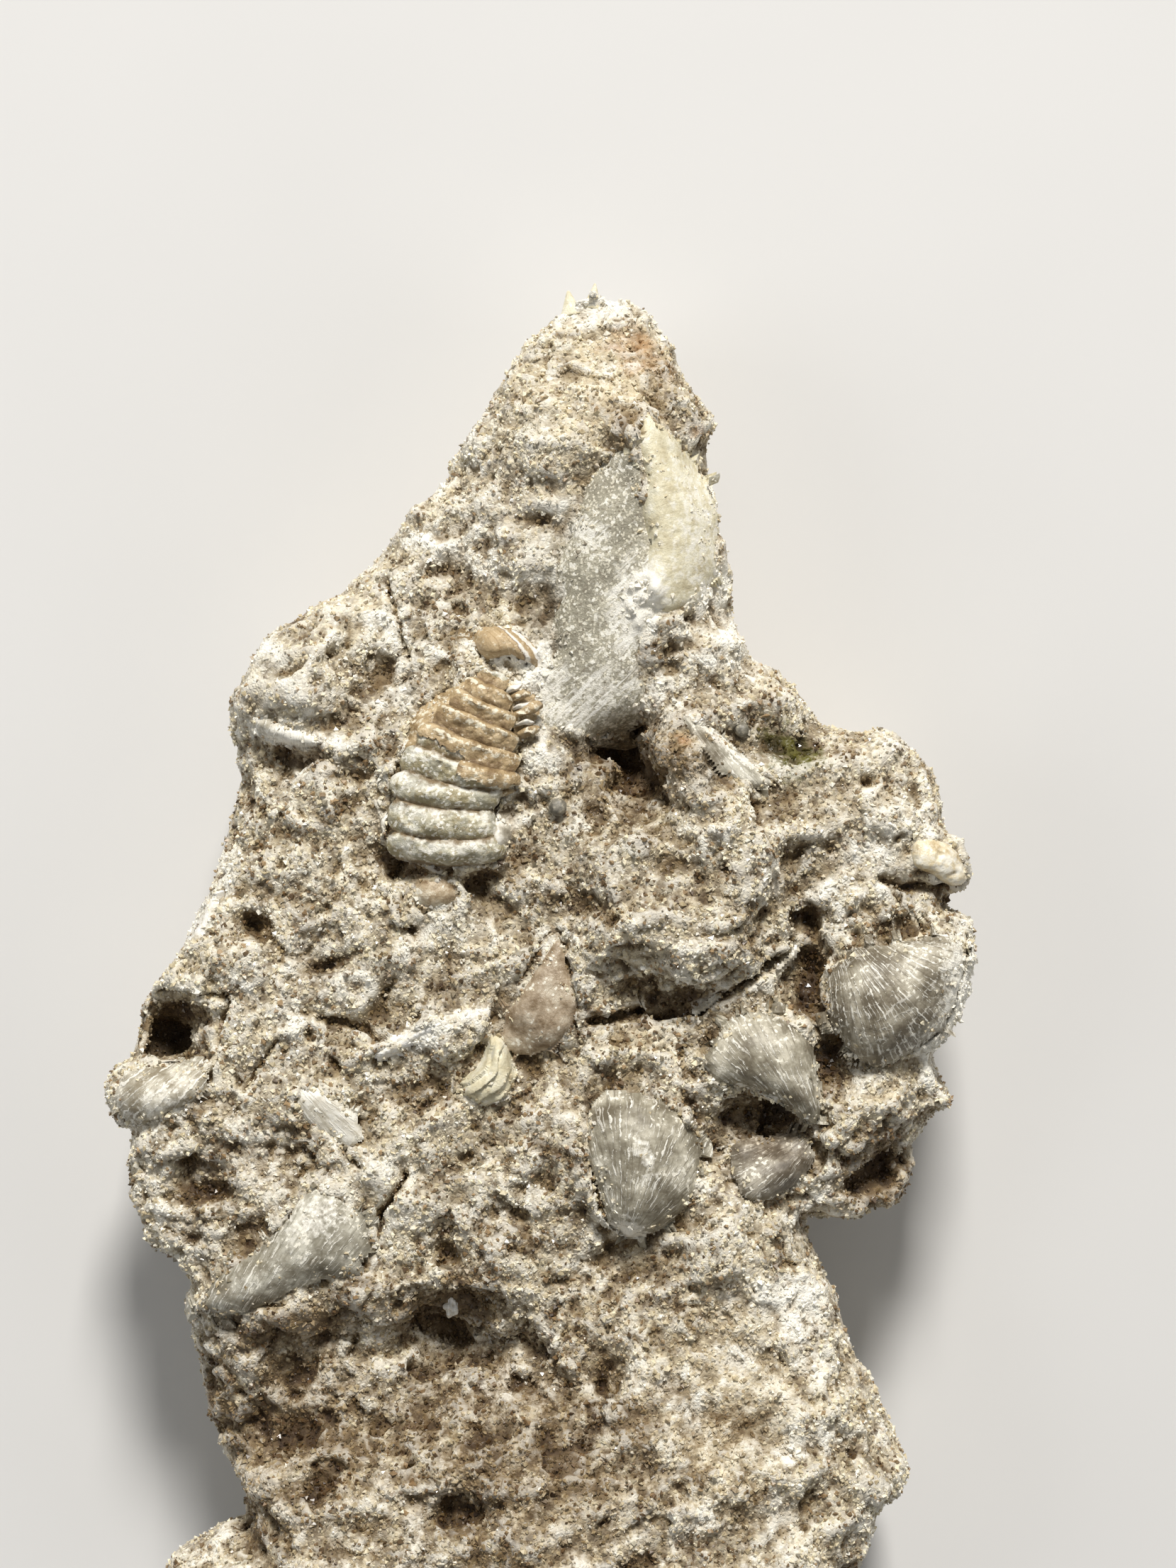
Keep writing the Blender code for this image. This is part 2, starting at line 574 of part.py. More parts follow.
def add_plate(finish):
    """The thin plate of shell on edge: a narrow curved wall with a rounded top."""
    path = [Vector(p) for p in PLATE_PATH]
    sides = []
    for i, place in enumerate(path):
        along = (path[min(i + 1, len(path) - 1)] - path[max(i - 1, 0)]).normalized()
        taper = math.sin(math.pi * (i + 0.6) / (len(path) + 0.2))
        across = Vector((-along.y, along.x)) * PLATE_WIDTH * 0.5 * taper
        sides.append((place + across, place, place - across))
    border = [(s[0].x, s[0].y) for s in sides] + [(s[2].x, s[2].y) for s in reversed(sides)]
    plane = bed_plane(border)
    bm = bmesh.new()
    rows = []
    for left, middle, right in sides:
        row = []
        for place, rise in ((left, 0.1), (middle, PLATE_RISE), (right, 0.1)):
            z = bed_height(plane, place.x, place.y) + rise
            row.append(bm.verts.new((place.x * MM, place.y * MM, z * MM)))
        rows.append(row)
    for first, second in zip(rows, rows[1:]):
        for k in (0, 1):
            bm.faces.new((first[k], first[k + 1], second[k + 1], second[k]))
    ring = [row[0] for row in rows] + [rows[-1][1]] + [row[2] for row in reversed(rows)] + [rows[0][1]]
    lowest = skirt(bm, ring, PLATE_DEPTH)
    return link("shell_edge_plate", bm, finish), [(v[0], v[1]) for v in border], lowest


def cut_seat(rock, name, edge, lowest):
    """Cuts a fossil's seat in the rock, the gap wider and deeper than the fossil."""
    bm = bmesh.new()
    outline = widened(edge, SEAT_GAP)
    floor = [bm.verts.new((p.x * MM, p.y * MM, (lowest - SEAT_GAP) * MM)) for p in outline]
    roof = [bm.verts.new((p.x * MM, p.y * MM, CUTTER_TOP * MM)) for p in outline]
    for i in range(len(outline)):
        j = (i + 1) % len(outline)
        bm.faces.new((floor[i], floor[j], roof[j], roof[i]))
    bm.faces.new(floor)
    bm.faces.new(roof)
    cutter = link("seat_of_" + name, bm, None)
    cutter.hide_render = True
    cutter.display_type = "WIRE"
    cut = rock.modifiers.new("seat of " + name, "BOOLEAN")
    cut.operation = "DIFFERENCE"
    cut.solver = "EXACT"
    cut.object = cutter


def main():
    for old in list(bpy.data.objects):
        bpy.data.objects.remove(old)
    limestone = material("shelly limestone", (0.42, 0.37, 0.29), 0.9)
    cuticle = material("brown trilobite cuticle", (0.40, 0.25, 0.13), 0.45)
    mould = material("grey and brown thorax", (0.50, 0.44, 0.33), 0.55)
    grey_shell = material("grey calcite shell", (0.42, 0.41, 0.36), 0.4)
    pale_shell = material("pale calcite shell", (0.72, 0.68, 0.55), 0.45)
    brown_shell = material("brown shell", (0.33, 0.24, 0.16), 0.4)
    crystal = material("honey calcite", (0.74, 0.62, 0.42), 0.3)
    finishes = {
        "trilobite_head": cuticle,
        "trilobite_tail": cuticle,
        "shell_pale_flake": pale_shell,
        "shell_white_rim": pale_shell,
        "shell_small_fan": pale_shell,
        "shell_white_shard": pale_shell,
        "shell_brown_spall": brown_shell,
        "calcite_crystal": crystal,
    }
    rock = add_matrix(limestone)
    for name, (corners, crown, depth) in CROWNED_FOSSILS.items():
        finish = finishes.get(name, grey_shell)
        _, edge, lowest = add_crowned_fossil(name, corners, crown, depth, finish)
        cut_seat(rock, name, edge, lowest)
    _, edge, lowest = add_thorax(mould)
    cut_seat(rock, "trilobite_thorax", edge, lowest)
    _, edge, lowest = add_plate(pale_shell)
    cut_seat(rock, "shell_edge_plate", edge, lowest)


main()
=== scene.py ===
import math
from contextlib import contextmanager

import bpy
import numpy as np
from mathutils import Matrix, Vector, noise
from mathutils.bvhtree import BVHTree
from mathutils.kdtree import KDTree


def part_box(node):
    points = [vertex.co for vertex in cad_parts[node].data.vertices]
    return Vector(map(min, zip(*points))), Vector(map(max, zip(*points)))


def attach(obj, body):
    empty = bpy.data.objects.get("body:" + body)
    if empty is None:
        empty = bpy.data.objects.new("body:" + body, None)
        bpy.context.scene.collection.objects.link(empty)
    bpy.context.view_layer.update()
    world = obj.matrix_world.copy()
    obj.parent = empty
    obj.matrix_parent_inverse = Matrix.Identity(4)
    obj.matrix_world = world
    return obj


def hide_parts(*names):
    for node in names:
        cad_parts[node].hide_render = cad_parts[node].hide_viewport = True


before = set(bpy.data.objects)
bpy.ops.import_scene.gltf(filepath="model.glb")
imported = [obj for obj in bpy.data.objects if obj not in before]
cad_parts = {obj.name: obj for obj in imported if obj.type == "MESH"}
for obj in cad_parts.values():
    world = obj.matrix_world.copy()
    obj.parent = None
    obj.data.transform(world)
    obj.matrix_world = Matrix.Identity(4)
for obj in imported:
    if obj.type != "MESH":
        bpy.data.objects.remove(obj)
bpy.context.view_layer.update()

# The limestone
#
# The rock is one broken piece of limestone made of shell hash and sugary calcite. It starts as a copy of the
# packed rock, with its seats filled by copies of the fossils, and is then broken up lump by lump.

MM = 0.001
ROCK_VOXEL = 0.165 * MM
SEAT_FILL = 0.45 * MM  # the fossils' copies are this much fatter, so that they meet the walls of their seats
SEAT_DROP = 0.75 * MM  # and this much lower, so that the dressed fossils stand clear of them
ROCK_TRIANGLES = 197000

LUMPS = ((3.2, 0.55), (1.3, 0.20), (0.6, 0.05))  # size and height in mm of the broken rock's lumps
LEDGES = ((3.4, 1.15), (1.5, 0.50))  # size and height in mm of its sharp-crested ledges
LEDGE_TURN = 17  # degrees, the way the ledges run
FACETS = ((1.1, 0.06, 0.16), (0.55, 0.04, 0.11))  # size, step and tilt in mm of its crystals
PIT_SIZE = 0.9
PIT_DEPTH = 0.35
PIT_SHARE = 0.42  # how far into the noise a pit starts; larger is fewer
BANK_WIDTH = 0.8  # how far out, in mm, the rock is banked up against its fossils
BANK_HEIGHT = 0.9
CLEARANCE = 0.2  # the rock stays this far, in mm, below the fossils' skins
EDGE_HEIGHT = 1.2  # below this height, in mm, the underside stays flat

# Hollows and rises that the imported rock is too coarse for: x, y, radii, turn, height in mm.
ROCK_MARKS = {
    "pit under the thorax, left": (-6.6, 7.1, 0.55, 0.5, 0, -0.9),
    "pit under the thorax, right": (-2.6, 5.9, 0.85, 0.4, -20, -0.9),
    "pit below the tail": (-5.8, 4.1, 0.4, 0.35, 0, -0.9),
    "pit of the left face": (-13.2, 4.6, 0.5, 0.35, -25, -0.9),
    "pit by the brown crystals": (-10.0, 2.5, 0.8, 0.35, 20, -0.6),
    "pit beside the valve": (0.1, 23.2, 0.6, 0.35, -10, -0.6),
    "pit above the thorax, left": (-7.2, 16.4, 0.7, 0.5, 30, -0.7),
    "recess of the shoulder": (-11.8, 16.5, 0.9, 0.45, 20, -0.8),
    "second recess of the shoulder": (-9.3, 17.2, 0.6, 0.35, 40, -0.7),
    "arm of the cavity": (5.0, 10.9, 0.6, 1.2, 25, -0.9),
    "pit of the crest": (7.1, 18.6, 0.3, 0.3, 0, -0.8),
    "wedge of the crest": (5.6, 28.6, 0.8, 0.35, -40, -0.7),
    "nodule pit of the crest": (6.9, 26.2, 0.4, 0.35, 0, -0.7),
    "hole of the left lobe": (-17.3, -1.1, 0.85, 0.8, 0, -1.6),
    "hole of the right lobe": (15.3, 11.2, 0.35, 0.3, 0, -0.8),
    "crystal sliver": (10.4, 9.9, 0.3, 0.9, 15, -0.8),
    "channel of the hump, upper": (12.7, 4.4, 0.4, 0.7, 10, -0.9),
    "channel of the hump, middle": (12.6, 2.4, 0.4, 0.8, -5, -0.9),
    "channel of the hump, lower": (12.9, 0.2, 0.35, 0.7, 5, -0.9),
    "pit of the fan": (10.9, -4.6, 0.7, 0.5, -20, -1.0),
    "dark hollow of the right lobe": (16.2, -6.8, 0.9, 0.7, 30, -0.6),
    "second hollow of the right lobe": (15.0, -7.9, 0.8, 0.45, 0, -0.5),
    "dark hollow of the foot": (-4.0, -14.6, 0.8, 0.55, 10, -0.4),
    "side hollow of the foot": (-6.4, -14.2, 1.6, 0.4, 4, -0.15),
    "notch over the foot": (-4.3, -10.7, 0.45, 0.5, 0, -0.6),
    "pit of the foot, left": (-14.8, -19.2, 0.6, 0.4, 0, -0.6),
    "pit of the foot, inner": (-10.2, -21.5, 0.5, 0.45, 0, -0.5),
    "pit of the foot, middle": (-3.6, -22.6, 1.3, 0.5, 5, -0.4),
    "pit of the foot, right": (2.9, -17.0, 0.3, 0.3, 0, -0.8),
    "fill under the crescent": (-11.0, -14.1, 2.8, 1.0, 10, 0.25),
    "fill beside the foot's hollow": (-7.9, -14.0, 1.8, 1.2, 0, 1.3),
    "fill beyond the foot's hollow": (-1.7, -14.0, 1.2, 1.1, 0, 1.2),
    "floor of the cavity": (3.2, 11.6, 0.7, 0.6, 20, 0.8),
    "slope beyond the cavity": (6.1, 11.9, 0.9, 1.8, 5, -0.6),
    "rise of the white ridge": (-5.4, -0.4, 2.0, 0.35, 20, 0.5),
    "round dark grain": (0.8, 9.9, 0.36, 0.36, 0, 0.3),
}

# Cracks and narrow ledges: the points of each line, its width and its depth in mm.
CRACKS = [
    ([(-6.2, -7.0), (-6.9, -8.2), (-7.5, -8.7), (-7.6, -9.6), (-7.9, -11.2)], 0.16, 0.9),
    ([(-10.2, 0.1), (-9.0, 0.0), (-8.0, -0.2), (-7.3, -0.6)], 0.13, 0.6),
    ([(2.4, 0.0), (4.2, 0.2), (6.0, 0.6), (7.4, 0.5), (8.5, 1.2), (10.0, 1.8), (11.6, 3.0)], 0.17, 0.8),
    ([(15.8, 6.6), (17.4, 6.2), (19.0, 6.0)], 0.15, 0.6),
    ([(16.5, 6.0), (17.4, 5.2), (18.0, 4.6)], 0.13, 0.4),
    ([(-14.5, 0.9), (-14.9, -0.6), (-15.2, -1.8), (-15.6, -3.0)], 0.15, 0.6),
    ([(-19.0, 0.9), (-17.2, 1.1), (-15.6, 1.0), (-14.6, 1.1)], 0.13, 0.5),
    ([(2.4, 13.0), (3.6, 12.9), (4.9, 13.5)], 0.16, 0.7),
    ([(-13.6, -3.2), (-12.9, -1.9), (-12.2, -0.9)], 0.12, 0.5),
    ([(-9.4, -5.2), (-9.0, -6.2), (-8.4, -6.8)], 0.12, 0.4),
    ([(-7.3, 20.5), (-6.6, 18.4), (-6.2, 16.9)], 0.12, 0.4),
]

# Layered stretches of the rock: x, y, radii, turn, and how strongly the layers step.
LAYERED = [
    (-15.5, -8.0, 4.2, 4.0, -6, 0.42),
    (-9.0, -4.0, 3.5, 2.2, 14, 0.22),
    (6.5, 3.0, 4.5, 2.6, 10, 0.2),
    (15.5, -5.5, 3.0, 3.0, 20, 0.25),
]

# Smooth stretches, where old shell shows in the rock and there are few grains.
SMOOTHED = [
    (-12.2, 15.8, 2.6, 2.6, 20, 0.85),
    (-8.8, 18.6, 1.8, 1.1, 35, 0.7),
    (2.2, 17.6, 2.8, 5.4, 0, 0.95),
    (1.4, 22.6, 2.0, 2.6, 0, 0.7),
    (-12.2, -10.6, 4.6, 2.0, 28, 0.85),
    (3.6, 14.6, 2.0, 1.2, -20, 0.8),
    (6.2, 22.5, 1.6, 4.6, 0, 0.8),
    (17.0, 7.0, 1.6, 1.1, 0, 0.6),
    (16.8, -0.2, 2.8, 1.8, 0, 0.4),
    (-17.0, 0.2, 1.7, 0.9, 0, 0.7),
    (-16.9, -3.4, 2.2, 1.2, 0, 0.5),
    (-10.6, -10.6, 3.4, 1.8, 20, 0.6),
]

# Stretches whose relief is low though they are as grainy as the rest.
CALM = [
    (2.0, 29.0, 6.0, 8.5, 0, 0.75),
    (6.6, 23.0, 2.6, 6.5, 0, 0.8),
    (14.5, 10.5, 4.0, 3.0, 0, 0.35),
    (6.0, -18.0, 7.0, 8.0, 0, 0.55),
    (-8.0, -19.0, 8.0, 6.0, 0, 0.45),
    (-8.5, 7.0, 5.0, 4.0, 0, 0.3),
]


def only(piece):
    """Makes one piece the active and only selected object."""
    bpy.ops.object.select_all(action="DESELECT")
    piece.select_set(True)
    bpy.context.view_layer.objects.active = piece


def finish_with(piece, kind, **settings):
    """Adds one modifier to a piece and applies it."""
    only(piece)
    modifier = piece.modifiers.new(kind.lower(), kind)
    for setting, value in settings.items():
        setattr(modifier, setting, value)
    bpy.ops.object.modifier_apply(modifier=modifier.name)


@contextmanager
def editing(piece):
    """Edit mode with the whole of a piece selected."""
    only(piece)
    bpy.ops.object.mode_set(mode="EDIT")
    bpy.ops.mesh.select_all(action="SELECT")
    yield
    bpy.ops.object.mode_set(mode="OBJECT")


def copy_of_node(node, name):
    """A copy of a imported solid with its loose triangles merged."""
    piece = bpy.data.objects.new(name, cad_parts[node].data.copy())
    bpy.context.scene.collection.objects.link(piece)
    piece.data.materials.clear()
    with editing(piece):
        bpy.ops.mesh.remove_doubles(threshold=0.000001)
    return piece


def fatter_and_lower(piece, out, down):
    """Moves a closed piece's skin outwards and the whole piece down."""
    with editing(piece):
        bpy.ops.transform.shrink_fatten(value=out)
        bpy.ops.transform.translate(value=(0, 0, -down))


def mark(x, y, form):
    """How much of a round mark is felt at a place, times its height."""
    centre_x, centre_y, radius_x, radius_y, turn, height = form
    angle = math.radians(turn)
    dx, dy = x - centre_x, y - centre_y
    along = (dx * np.cos(angle) + dy * np.sin(angle)) / radius_x
    across = (dy * np.cos(angle) - dx * np.sin(angle)) / radius_y
    return height * np.exp(-(along**2 + across**2))


def stretch_cover(places, stretches):
    """How strongly a list of stretches covers each place, from 0 to 1."""
    cover = np.zeros(len(places))
    for stretch in stretches:
        cover = np.maximum(cover, mark(places[:, 0], places[:, 1], stretch))
    return np.minimum(cover, 1.0)


def distance_to_line(x, y, points):
    """Distance of each place from a line of points."""
    nearest = np.full_like(x, 1e9)
    for (ax, ay), (bx, by) in zip(points, points[1:]):
        dx, dy = bx - ax, by - ay
        along = np.clip(((x - ax) * dx + (y - ay) * dy) / (dx * dx + dy * dy), 0, 1)
        nearest = np.minimum(nearest, np.hypot(x - ax - along * dx, y - ay - along * dy))
    return nearest


def read(items, what, width=3, kind=float):
    """One measure of all the points, edges or faces of a mesh, a row for each."""
    values = np.empty(len(items) * width, kind)
    items.foreach_get(what, values)
    return values.reshape(-1, width)


def points_of(mesh):
    """All the places of a mesh's points in mm."""
    return read(mesh.vertices, "co") / MM


def normals_of(mesh):
    return read(mesh.vertex_normals, "vector")


def put_points(mesh, places):
    mesh.vertices.foreach_set("co", (places * MM).ravel())
    mesh.update()


def per_point(places, function):
    """A Blender noise read at every place."""
    return np.array([function(Vector(place)) for place in places.tolist()])


def broken_crystals(places, size, step, tilt, seed):
    """Crystals packed side by side, each broken off at its own height and at its own slant."""
    shift = Vector((seed * 13.7, seed * 5.1, seed * 9.3))
    found = []
    for place in places.tolist():
        spot = Vector(place) / size + shift
        centre = noise.voronoi(spot)[1][0]
        height = noise.cell(centre * 91.7) - 0.5
        slant = noise.cell_vector(centre * 53.1) - Vector((0.5, 0.5, 0.5))
        found.append(step * 2 * height + tilt * 2 * slant.dot(spot - centre))
    return np.array(found)


def save_attribute(mesh, name, values):
    attribute = mesh.attributes.new(name, "FLOAT", "POINT")
    attribute.data.foreach_set("value", values.astype(np.float32))


def standing_out(mesh, rounds):
    """How far each point stands out of the skin around it, in mm, positive on tips and negative in pits."""
    places = points_of(mesh)
    a, b = read(mesh.edges, "vertices", 2, np.int64).T
    count = np.bincount(a, minlength=len(places)) + np.bincount(b, minlength=len(places))
    smooth = places.copy()
    for _ in range(rounds):
        total = np.zeros_like(smooth)
        for axis in range(3):
            total[:, axis] = np.bincount(a, smooth[b, axis], len(places))
            total[:, axis] += np.bincount(b, smooth[a, axis], len(places))
        smooth = total / np.maximum(count, 1)[:, None]
    return np.einsum("ij,ij->i", places - smooth, normals_of(mesh))


def tree_of(pieces):
    """The skins of several pieces as one search tree, in metres."""
    corners, faces = [], []
    for piece in pieces:
        first = len(corners)
        corners += [tuple(vertex.co) for vertex in piece.data.vertices]
        faces += [tuple(first + index for index in face.vertices) for face in piece.data.polygons]
    return BVHTree.FromPolygons(corners, faces)


def height_at(tree, x, y):
    """Height in mm of a skin below a place seen from above, or nothing beside it."""
    hit = tree.ray_cast(Vector((x * MM, y * MM, 0.04)), Vector((0, 0, -1)))[0]
    return hit.z / MM if hit else None


def keep_below(places, tree, gap):
    """Lowers the points that would break through a skin over them to this far below it."""
    for index, (x, y, z) in enumerate(places.tolist()):
        top = height_at(tree, x, y)
        if top is not None and z > top - gap:
            places[index, 2] = top - gap


def bank_of_rock(places, out, tree):
    """How much the rock rises against the rims of its fossils at each place, in mm."""
    bank = np.zeros(len(places))
    for index in np.flatnonzero(out[:, 2] > 0.0):
        place = Vector(places[index]) * MM
        nearest, _, _, distance = tree.find_nearest(place, 2 * BANK_WIDTH * MM)
        below_a_fossil = tree.ray_cast(place, Vector((0, 0, 1)))[0]
        if nearest and not below_a_fossil:
            gap = min((nearest.z - place.z) / MM, BANK_HEIGHT)
            bank[index] = max(gap, 0) * math.exp(-((distance / MM / BANK_WIDTH) ** 2))
    grains = per_point(places / 0.6 + 12.0, noise.noise)
    return bank * np.clip(0.95 + 1.3 * grains, 0.2, 1.4)


rock = copy_of_node("limestone_matrix", "limestone")
fillings = []
for node in sorted(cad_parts):
    if node != "limestone_matrix":
        filling = copy_of_node(node, "filling_" + node)
        fatter_and_lower(filling, SEAT_FILL, SEAT_DROP)
        fillings.append(filling)
only(rock)
for filling in fillings:
    filling.select_set(True)
bpy.ops.object.join()
finish_with(rock, "REMESH", mode="VOXEL", voxel_size=ROCK_VOXEL, use_smooth_shade=True)
finish_with(rock, "SMOOTH", factor=0.5, iterations=9)

places = points_of(rock.data)
out = normals_of(rock.data)
x, y, z = places.T
facing_up = np.clip(out[:, 2] * 1.4 + 0.35, 0.25, 1.0)
smooth = stretch_cover(places, SMOOTHED)
calm = np.maximum(smooth, stretch_cover(places, CALM))
level = np.clip(out[:, 2] * 2, 0, 1)
rough = 1 - 0.85 * smooth * level
lumpy = 1 - 0.85 * calm * level

rise = np.zeros(len(places))
for size, height in LUMPS:
    rise += height * per_point(places / size + 31.0, noise.noise) * (0.15 + 0.85 * lumpy)
turn = math.radians(LEDGE_TURN)
along = x * math.cos(turn) + y * math.sin(turn)
across = y * math.cos(turn) - x * math.sin(turn)
for size, height in LEDGES:
    ledge = per_point(np.column_stack((along / 1.8, across, z)) / size + 17.0, noise.noise)
    rise += height * (0.24 - np.abs(ledge)) * (0.05 + 0.95 * lumpy)
for number, (size, step, tilt) in enumerate(FACETS):
    patchy = 0.85 + 0.8 * per_point(places / 3.1 + 7.0 * number, noise.noise)
    rise += broken_crystals(places, size, step, tilt, number) * rough * np.clip(patchy, 0.35, 1.3)
hollow = per_point(places / PIT_SIZE + 50.0, noise.noise)
hollow = np.clip((hollow - PIT_SHARE) / 0.3, 0, 1)
rise -= PIT_DEPTH * hollow**1.3 * rough
for x0, y0, radius_x, radius_y, turn, strength in LAYERED:
    felt = mark(x, y, (x0, y0, radius_x, radius_y, turn, strength))
    angle = math.radians(turn)
    across = y * math.cos(angle) - x * math.sin(angle)
    layers = per_point(np.column_stack((x / 4.0, across / 0.85, z / 0.9)) + 80.0, noise.noise)
    rise += felt * (1.6 * np.abs(layers) - 0.5) * 1.4
for form in ROCK_MARKS.values():
    rise += mark(x, y, form) * level
wander = 0.12 * per_point(places * 1.6, noise.noise)
for line, width, depth in CRACKS:
    near = np.exp(-((distance_to_line(x + wander, y - wander, line) / width) ** 2))
    rise -= depth * near * level
underside = np.clip((EDGE_HEIGHT - z) / EDGE_HEIGHT, 0, 1) * np.clip(-out[:, 2], 0, 1)
rise = rise * facing_up * (1 - underside) + np.minimum(rise, 0) * underside * 0.5
places += out * rise[:, None]
fossil_skins = tree_of(node for name, node in sorted(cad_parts.items()) if name != "limestone_matrix")
places[:, 2] += bank_of_rock(places, out, fossil_skins)
keep_below(places, fossil_skins, CLEARANCE)
places[:, 2] = np.maximum(places[:, 2], 0.0)
put_points(rock.data, places)
finish_with(rock, "DECIMATE", ratio=min(1.0, ROCK_TRIANGLES / (2 * len(rock.data.polygons))))
save_attribute(rock.data, "relief", standing_out(rock.data, 7))
save_attribute(rock.data, "broad_relief", standing_out(rock.data, 45))

# Colours of the stone, as they look on a fresh broken face in daylight.
CREAM = (0.80, 0.705, 0.50)
WARM_GREY = (0.43, 0.37, 0.265)
EARTH = (0.19, 0.137, 0.08)
CALCITE_WHITE = (0.93, 0.90, 0.80)
CALCITE_GREY = (0.30, 0.28, 0.235)
# Painted shade, laid in the deepest hollows.
DEEP_HOLLOW_SHADE = (0.055, 0.038, 0.022)
DARK_EARTH = (0.17, 0.12, 0.07)
GOLD = (0.74, 0.635, 0.43)
MOSS = (0.13, 0.12, 0.02)
RUST = (0.42, 0.22, 0.08)
BROWN_TINT = (0.42, 0.335, 0.23)
# The next two tints are painted shade, for the pits and for the broad hollows.
PIT_SHADE_TINT = (0.46, 0.385, 0.275)
HOLLOW_SHADE_TINT = (0.44, 0.36, 0.25)

# Stained and bleached stretches of the rock: x, y, radii, turn, strength. The brown ones are partly real
# stains and partly painted shade, where they darken the cavity, the fan's hollow, the right lobe's underside
# and the stretch under the crescent's lip, where shadow falls.
BROWN_STAINS_AND_PAINTED_SHADE = [
    (-17.0, 0.2, 2.4, 0.7, 0, 0.8),
    (-11.0, 12.3, 1.6, 0.5, -8, 0.8),
    (-6.5, 15.4, 1.6, 0.9, 30, 0.35),
    (4.2, 11.8, 2.9, 2.5, 10, 0.95),
    (6.4, 12.0, 1.8, 2.3, 5, 0.9),
    (6.0, 17.0, 1.9, 1.2, 20, 0.45),
    (5.5, 29.3, 0.9, 1.9, -25, 0.6),
    (7.2, 27.4, 0.7, 0.8, 0, 0.5),
    (12.6, 2.2, 0.7, 3.4, 0, 0.8),
    (13.6, -2.2, 0.7, 1.2, 10, 0.6),
    (6.6, 0.6, 4.6, 0.7, 12, 0.6),
    (10.2, -5.3, 2.6, 1.3, -18, 0.75),
    (15.8, -7.4, 2.4, 2.0, 20, 0.95),
    (17.8, -4.6, 1.2, 0.8, 0, 0.4),
    (9.5, 3.8, 2.2, 1.6, 20, 0.35),
    (3.3, 5.0, 1.6, 2.4, 10, 0.2),
    (-4.8, -13.6, 3.6, 1.7, 5, 0.95),
    (-11.5, -16.5, 4.5, 4.0, 0, 0.6),
    (-11.5, -14.2, 4.4, 1.3, 10, 1.0),
    (-3.0, -22.8, 2.4, 1.2, 0, 0.6),
    (-16.0, -8.0, 2.6, 0.5, -4, 0.6),
    (-15.6, -10.2, 2.6, 0.5, -8, 0.6),
    (-16.3, -6.5, 2.0, 0.4, 4, 0.4),
    (-1.4, -10.4, 2.4, 1.6, 0, 0.4),
    (1.3, -3.8, 1.6, 1.8, 0, 0.35),
    (-1.0, -20.0, 9.0, 7.0, 0, 0.7),
    (-12.0, -19.0, 6.0, 7.0, 0, 0.75),
    (-15.5, -8.0, 4.0, 4.0, 0, 0.35),
    (-5.0, 7.0, 2.0, 0.6, -10, 0.5),
    (-10.0, 2.4, 1.2, 0.7, 20, 0.5),
    (19.0, 6.1, 1.4, 0.3, 0, 0.5),
]
BLEACHED = [
    (4.7, 19.5, 1.1, 1.9, -15, 1.3),
    (2.4, 14.9, 2.7, 1.3, 30, 0.45),
    (15.5, 9.0, 3.4, 3.4, 0, 0.36),
    (-3.6, 22.6, 2.6, 4.6, -40, 0.34),
    (10.0, -17.5, 3.4, 5.0, 0, 0.3),
    (8.5, 12.9, 2.9, 0.22, -40, 1.0),
    (2.2, 22.8, 0.9, 0.5, -20, 0.8),
    (0.0, 15.8, 1.2, 1.6, 20, 0.8),
    (8.6, 18.0, 0.8, 1.6, 15, 0.7),
    (-16.2, 4.8, 0.8, 1.4, -25, 0.8),
    (-5.2, -0.5, 2.6, 0.6, 20, 0.7),
    (-17.4, -3.6, 2.0, 0.8, 15, 0.5),
    (11.6, -13.2, 2.4, 1.3, -25, 0.7),
    (11.0, -22.4, 1.4, 0.9, -40, 0.6),
    (18.3, -1.8, 1.2, 1.4, 0, 0.7),
    (15.0, -3.1, 1.6, 0.8, 20, 0.45),
    (-1.6, 9.0, 0.9, 0.9, 0, 0.6),
    (-11.8, 13.2, 2.2, 0.5, -5, 0.7),
    (-12.8, 18.0, 1.2, 1.0, 40, 0.4),
    (12.4, -9.2, 0.6, 1.6, -30, 0.5),
    (-4.1, -13.4, 0.35, 0.45, 0, 0.9),
    (19.0, 7.2, 1.0, 0.8, 0, 0.6),
    (19.6, 1.6, 1.1, 2.8, 0, 0.95),
    (-10.2, -8.9, 2.2, 1.1, 25, 0.6),
    (7.4, 22.5, 1.6, 6.0, 0, 0.5),
    (4.2, -9.6, 1.0, 0.5, -25, 1.0),
    (4.9, -6.2, 0.4, 1.3, 20, 0.75),
    (2.4, 33.5, 2.2, 1.3, 0, 0.8),
    (-17.0, -4.4, 2.6, 0.7, 15, 0.4),
]
GREYED = [
    (2.1, 18.4, 2.6, 5.2, 0, 0.8),
    (3.4, 14.8, 1.8, 1.2, -20, 0.7),
    (16.6, 1.0, 3.2, 2.8, 0, 0.4),
    (-12.6, 16.6, 1.6, 1.8, 0, 0.35),
    (13.0, -14.0, 2.0, 2.6, 0, 0.2),
    (0.8, 9.9, 0.42, 0.42, 0, 1.0),
    (9.4, 13.5, 0.5, 0.4, 0, 0.9),
    (7.9, 11.8, 1.0, 1.7, -40, 0.6),
    (0.0, 27.4, 1.0, 1.2, 0, 0.55),
    (-6.4, 15.2, 0.9, 0.6, 20, 0.7),
    (-7.2, 13.6, 0.6, 0.4, 0, 0.5),
    (-4.0, 4.6, 2.4, 0.8, -10, 0.35),
    (2.2, 7.6, 1.6, 0.6, 30, 0.3),
]
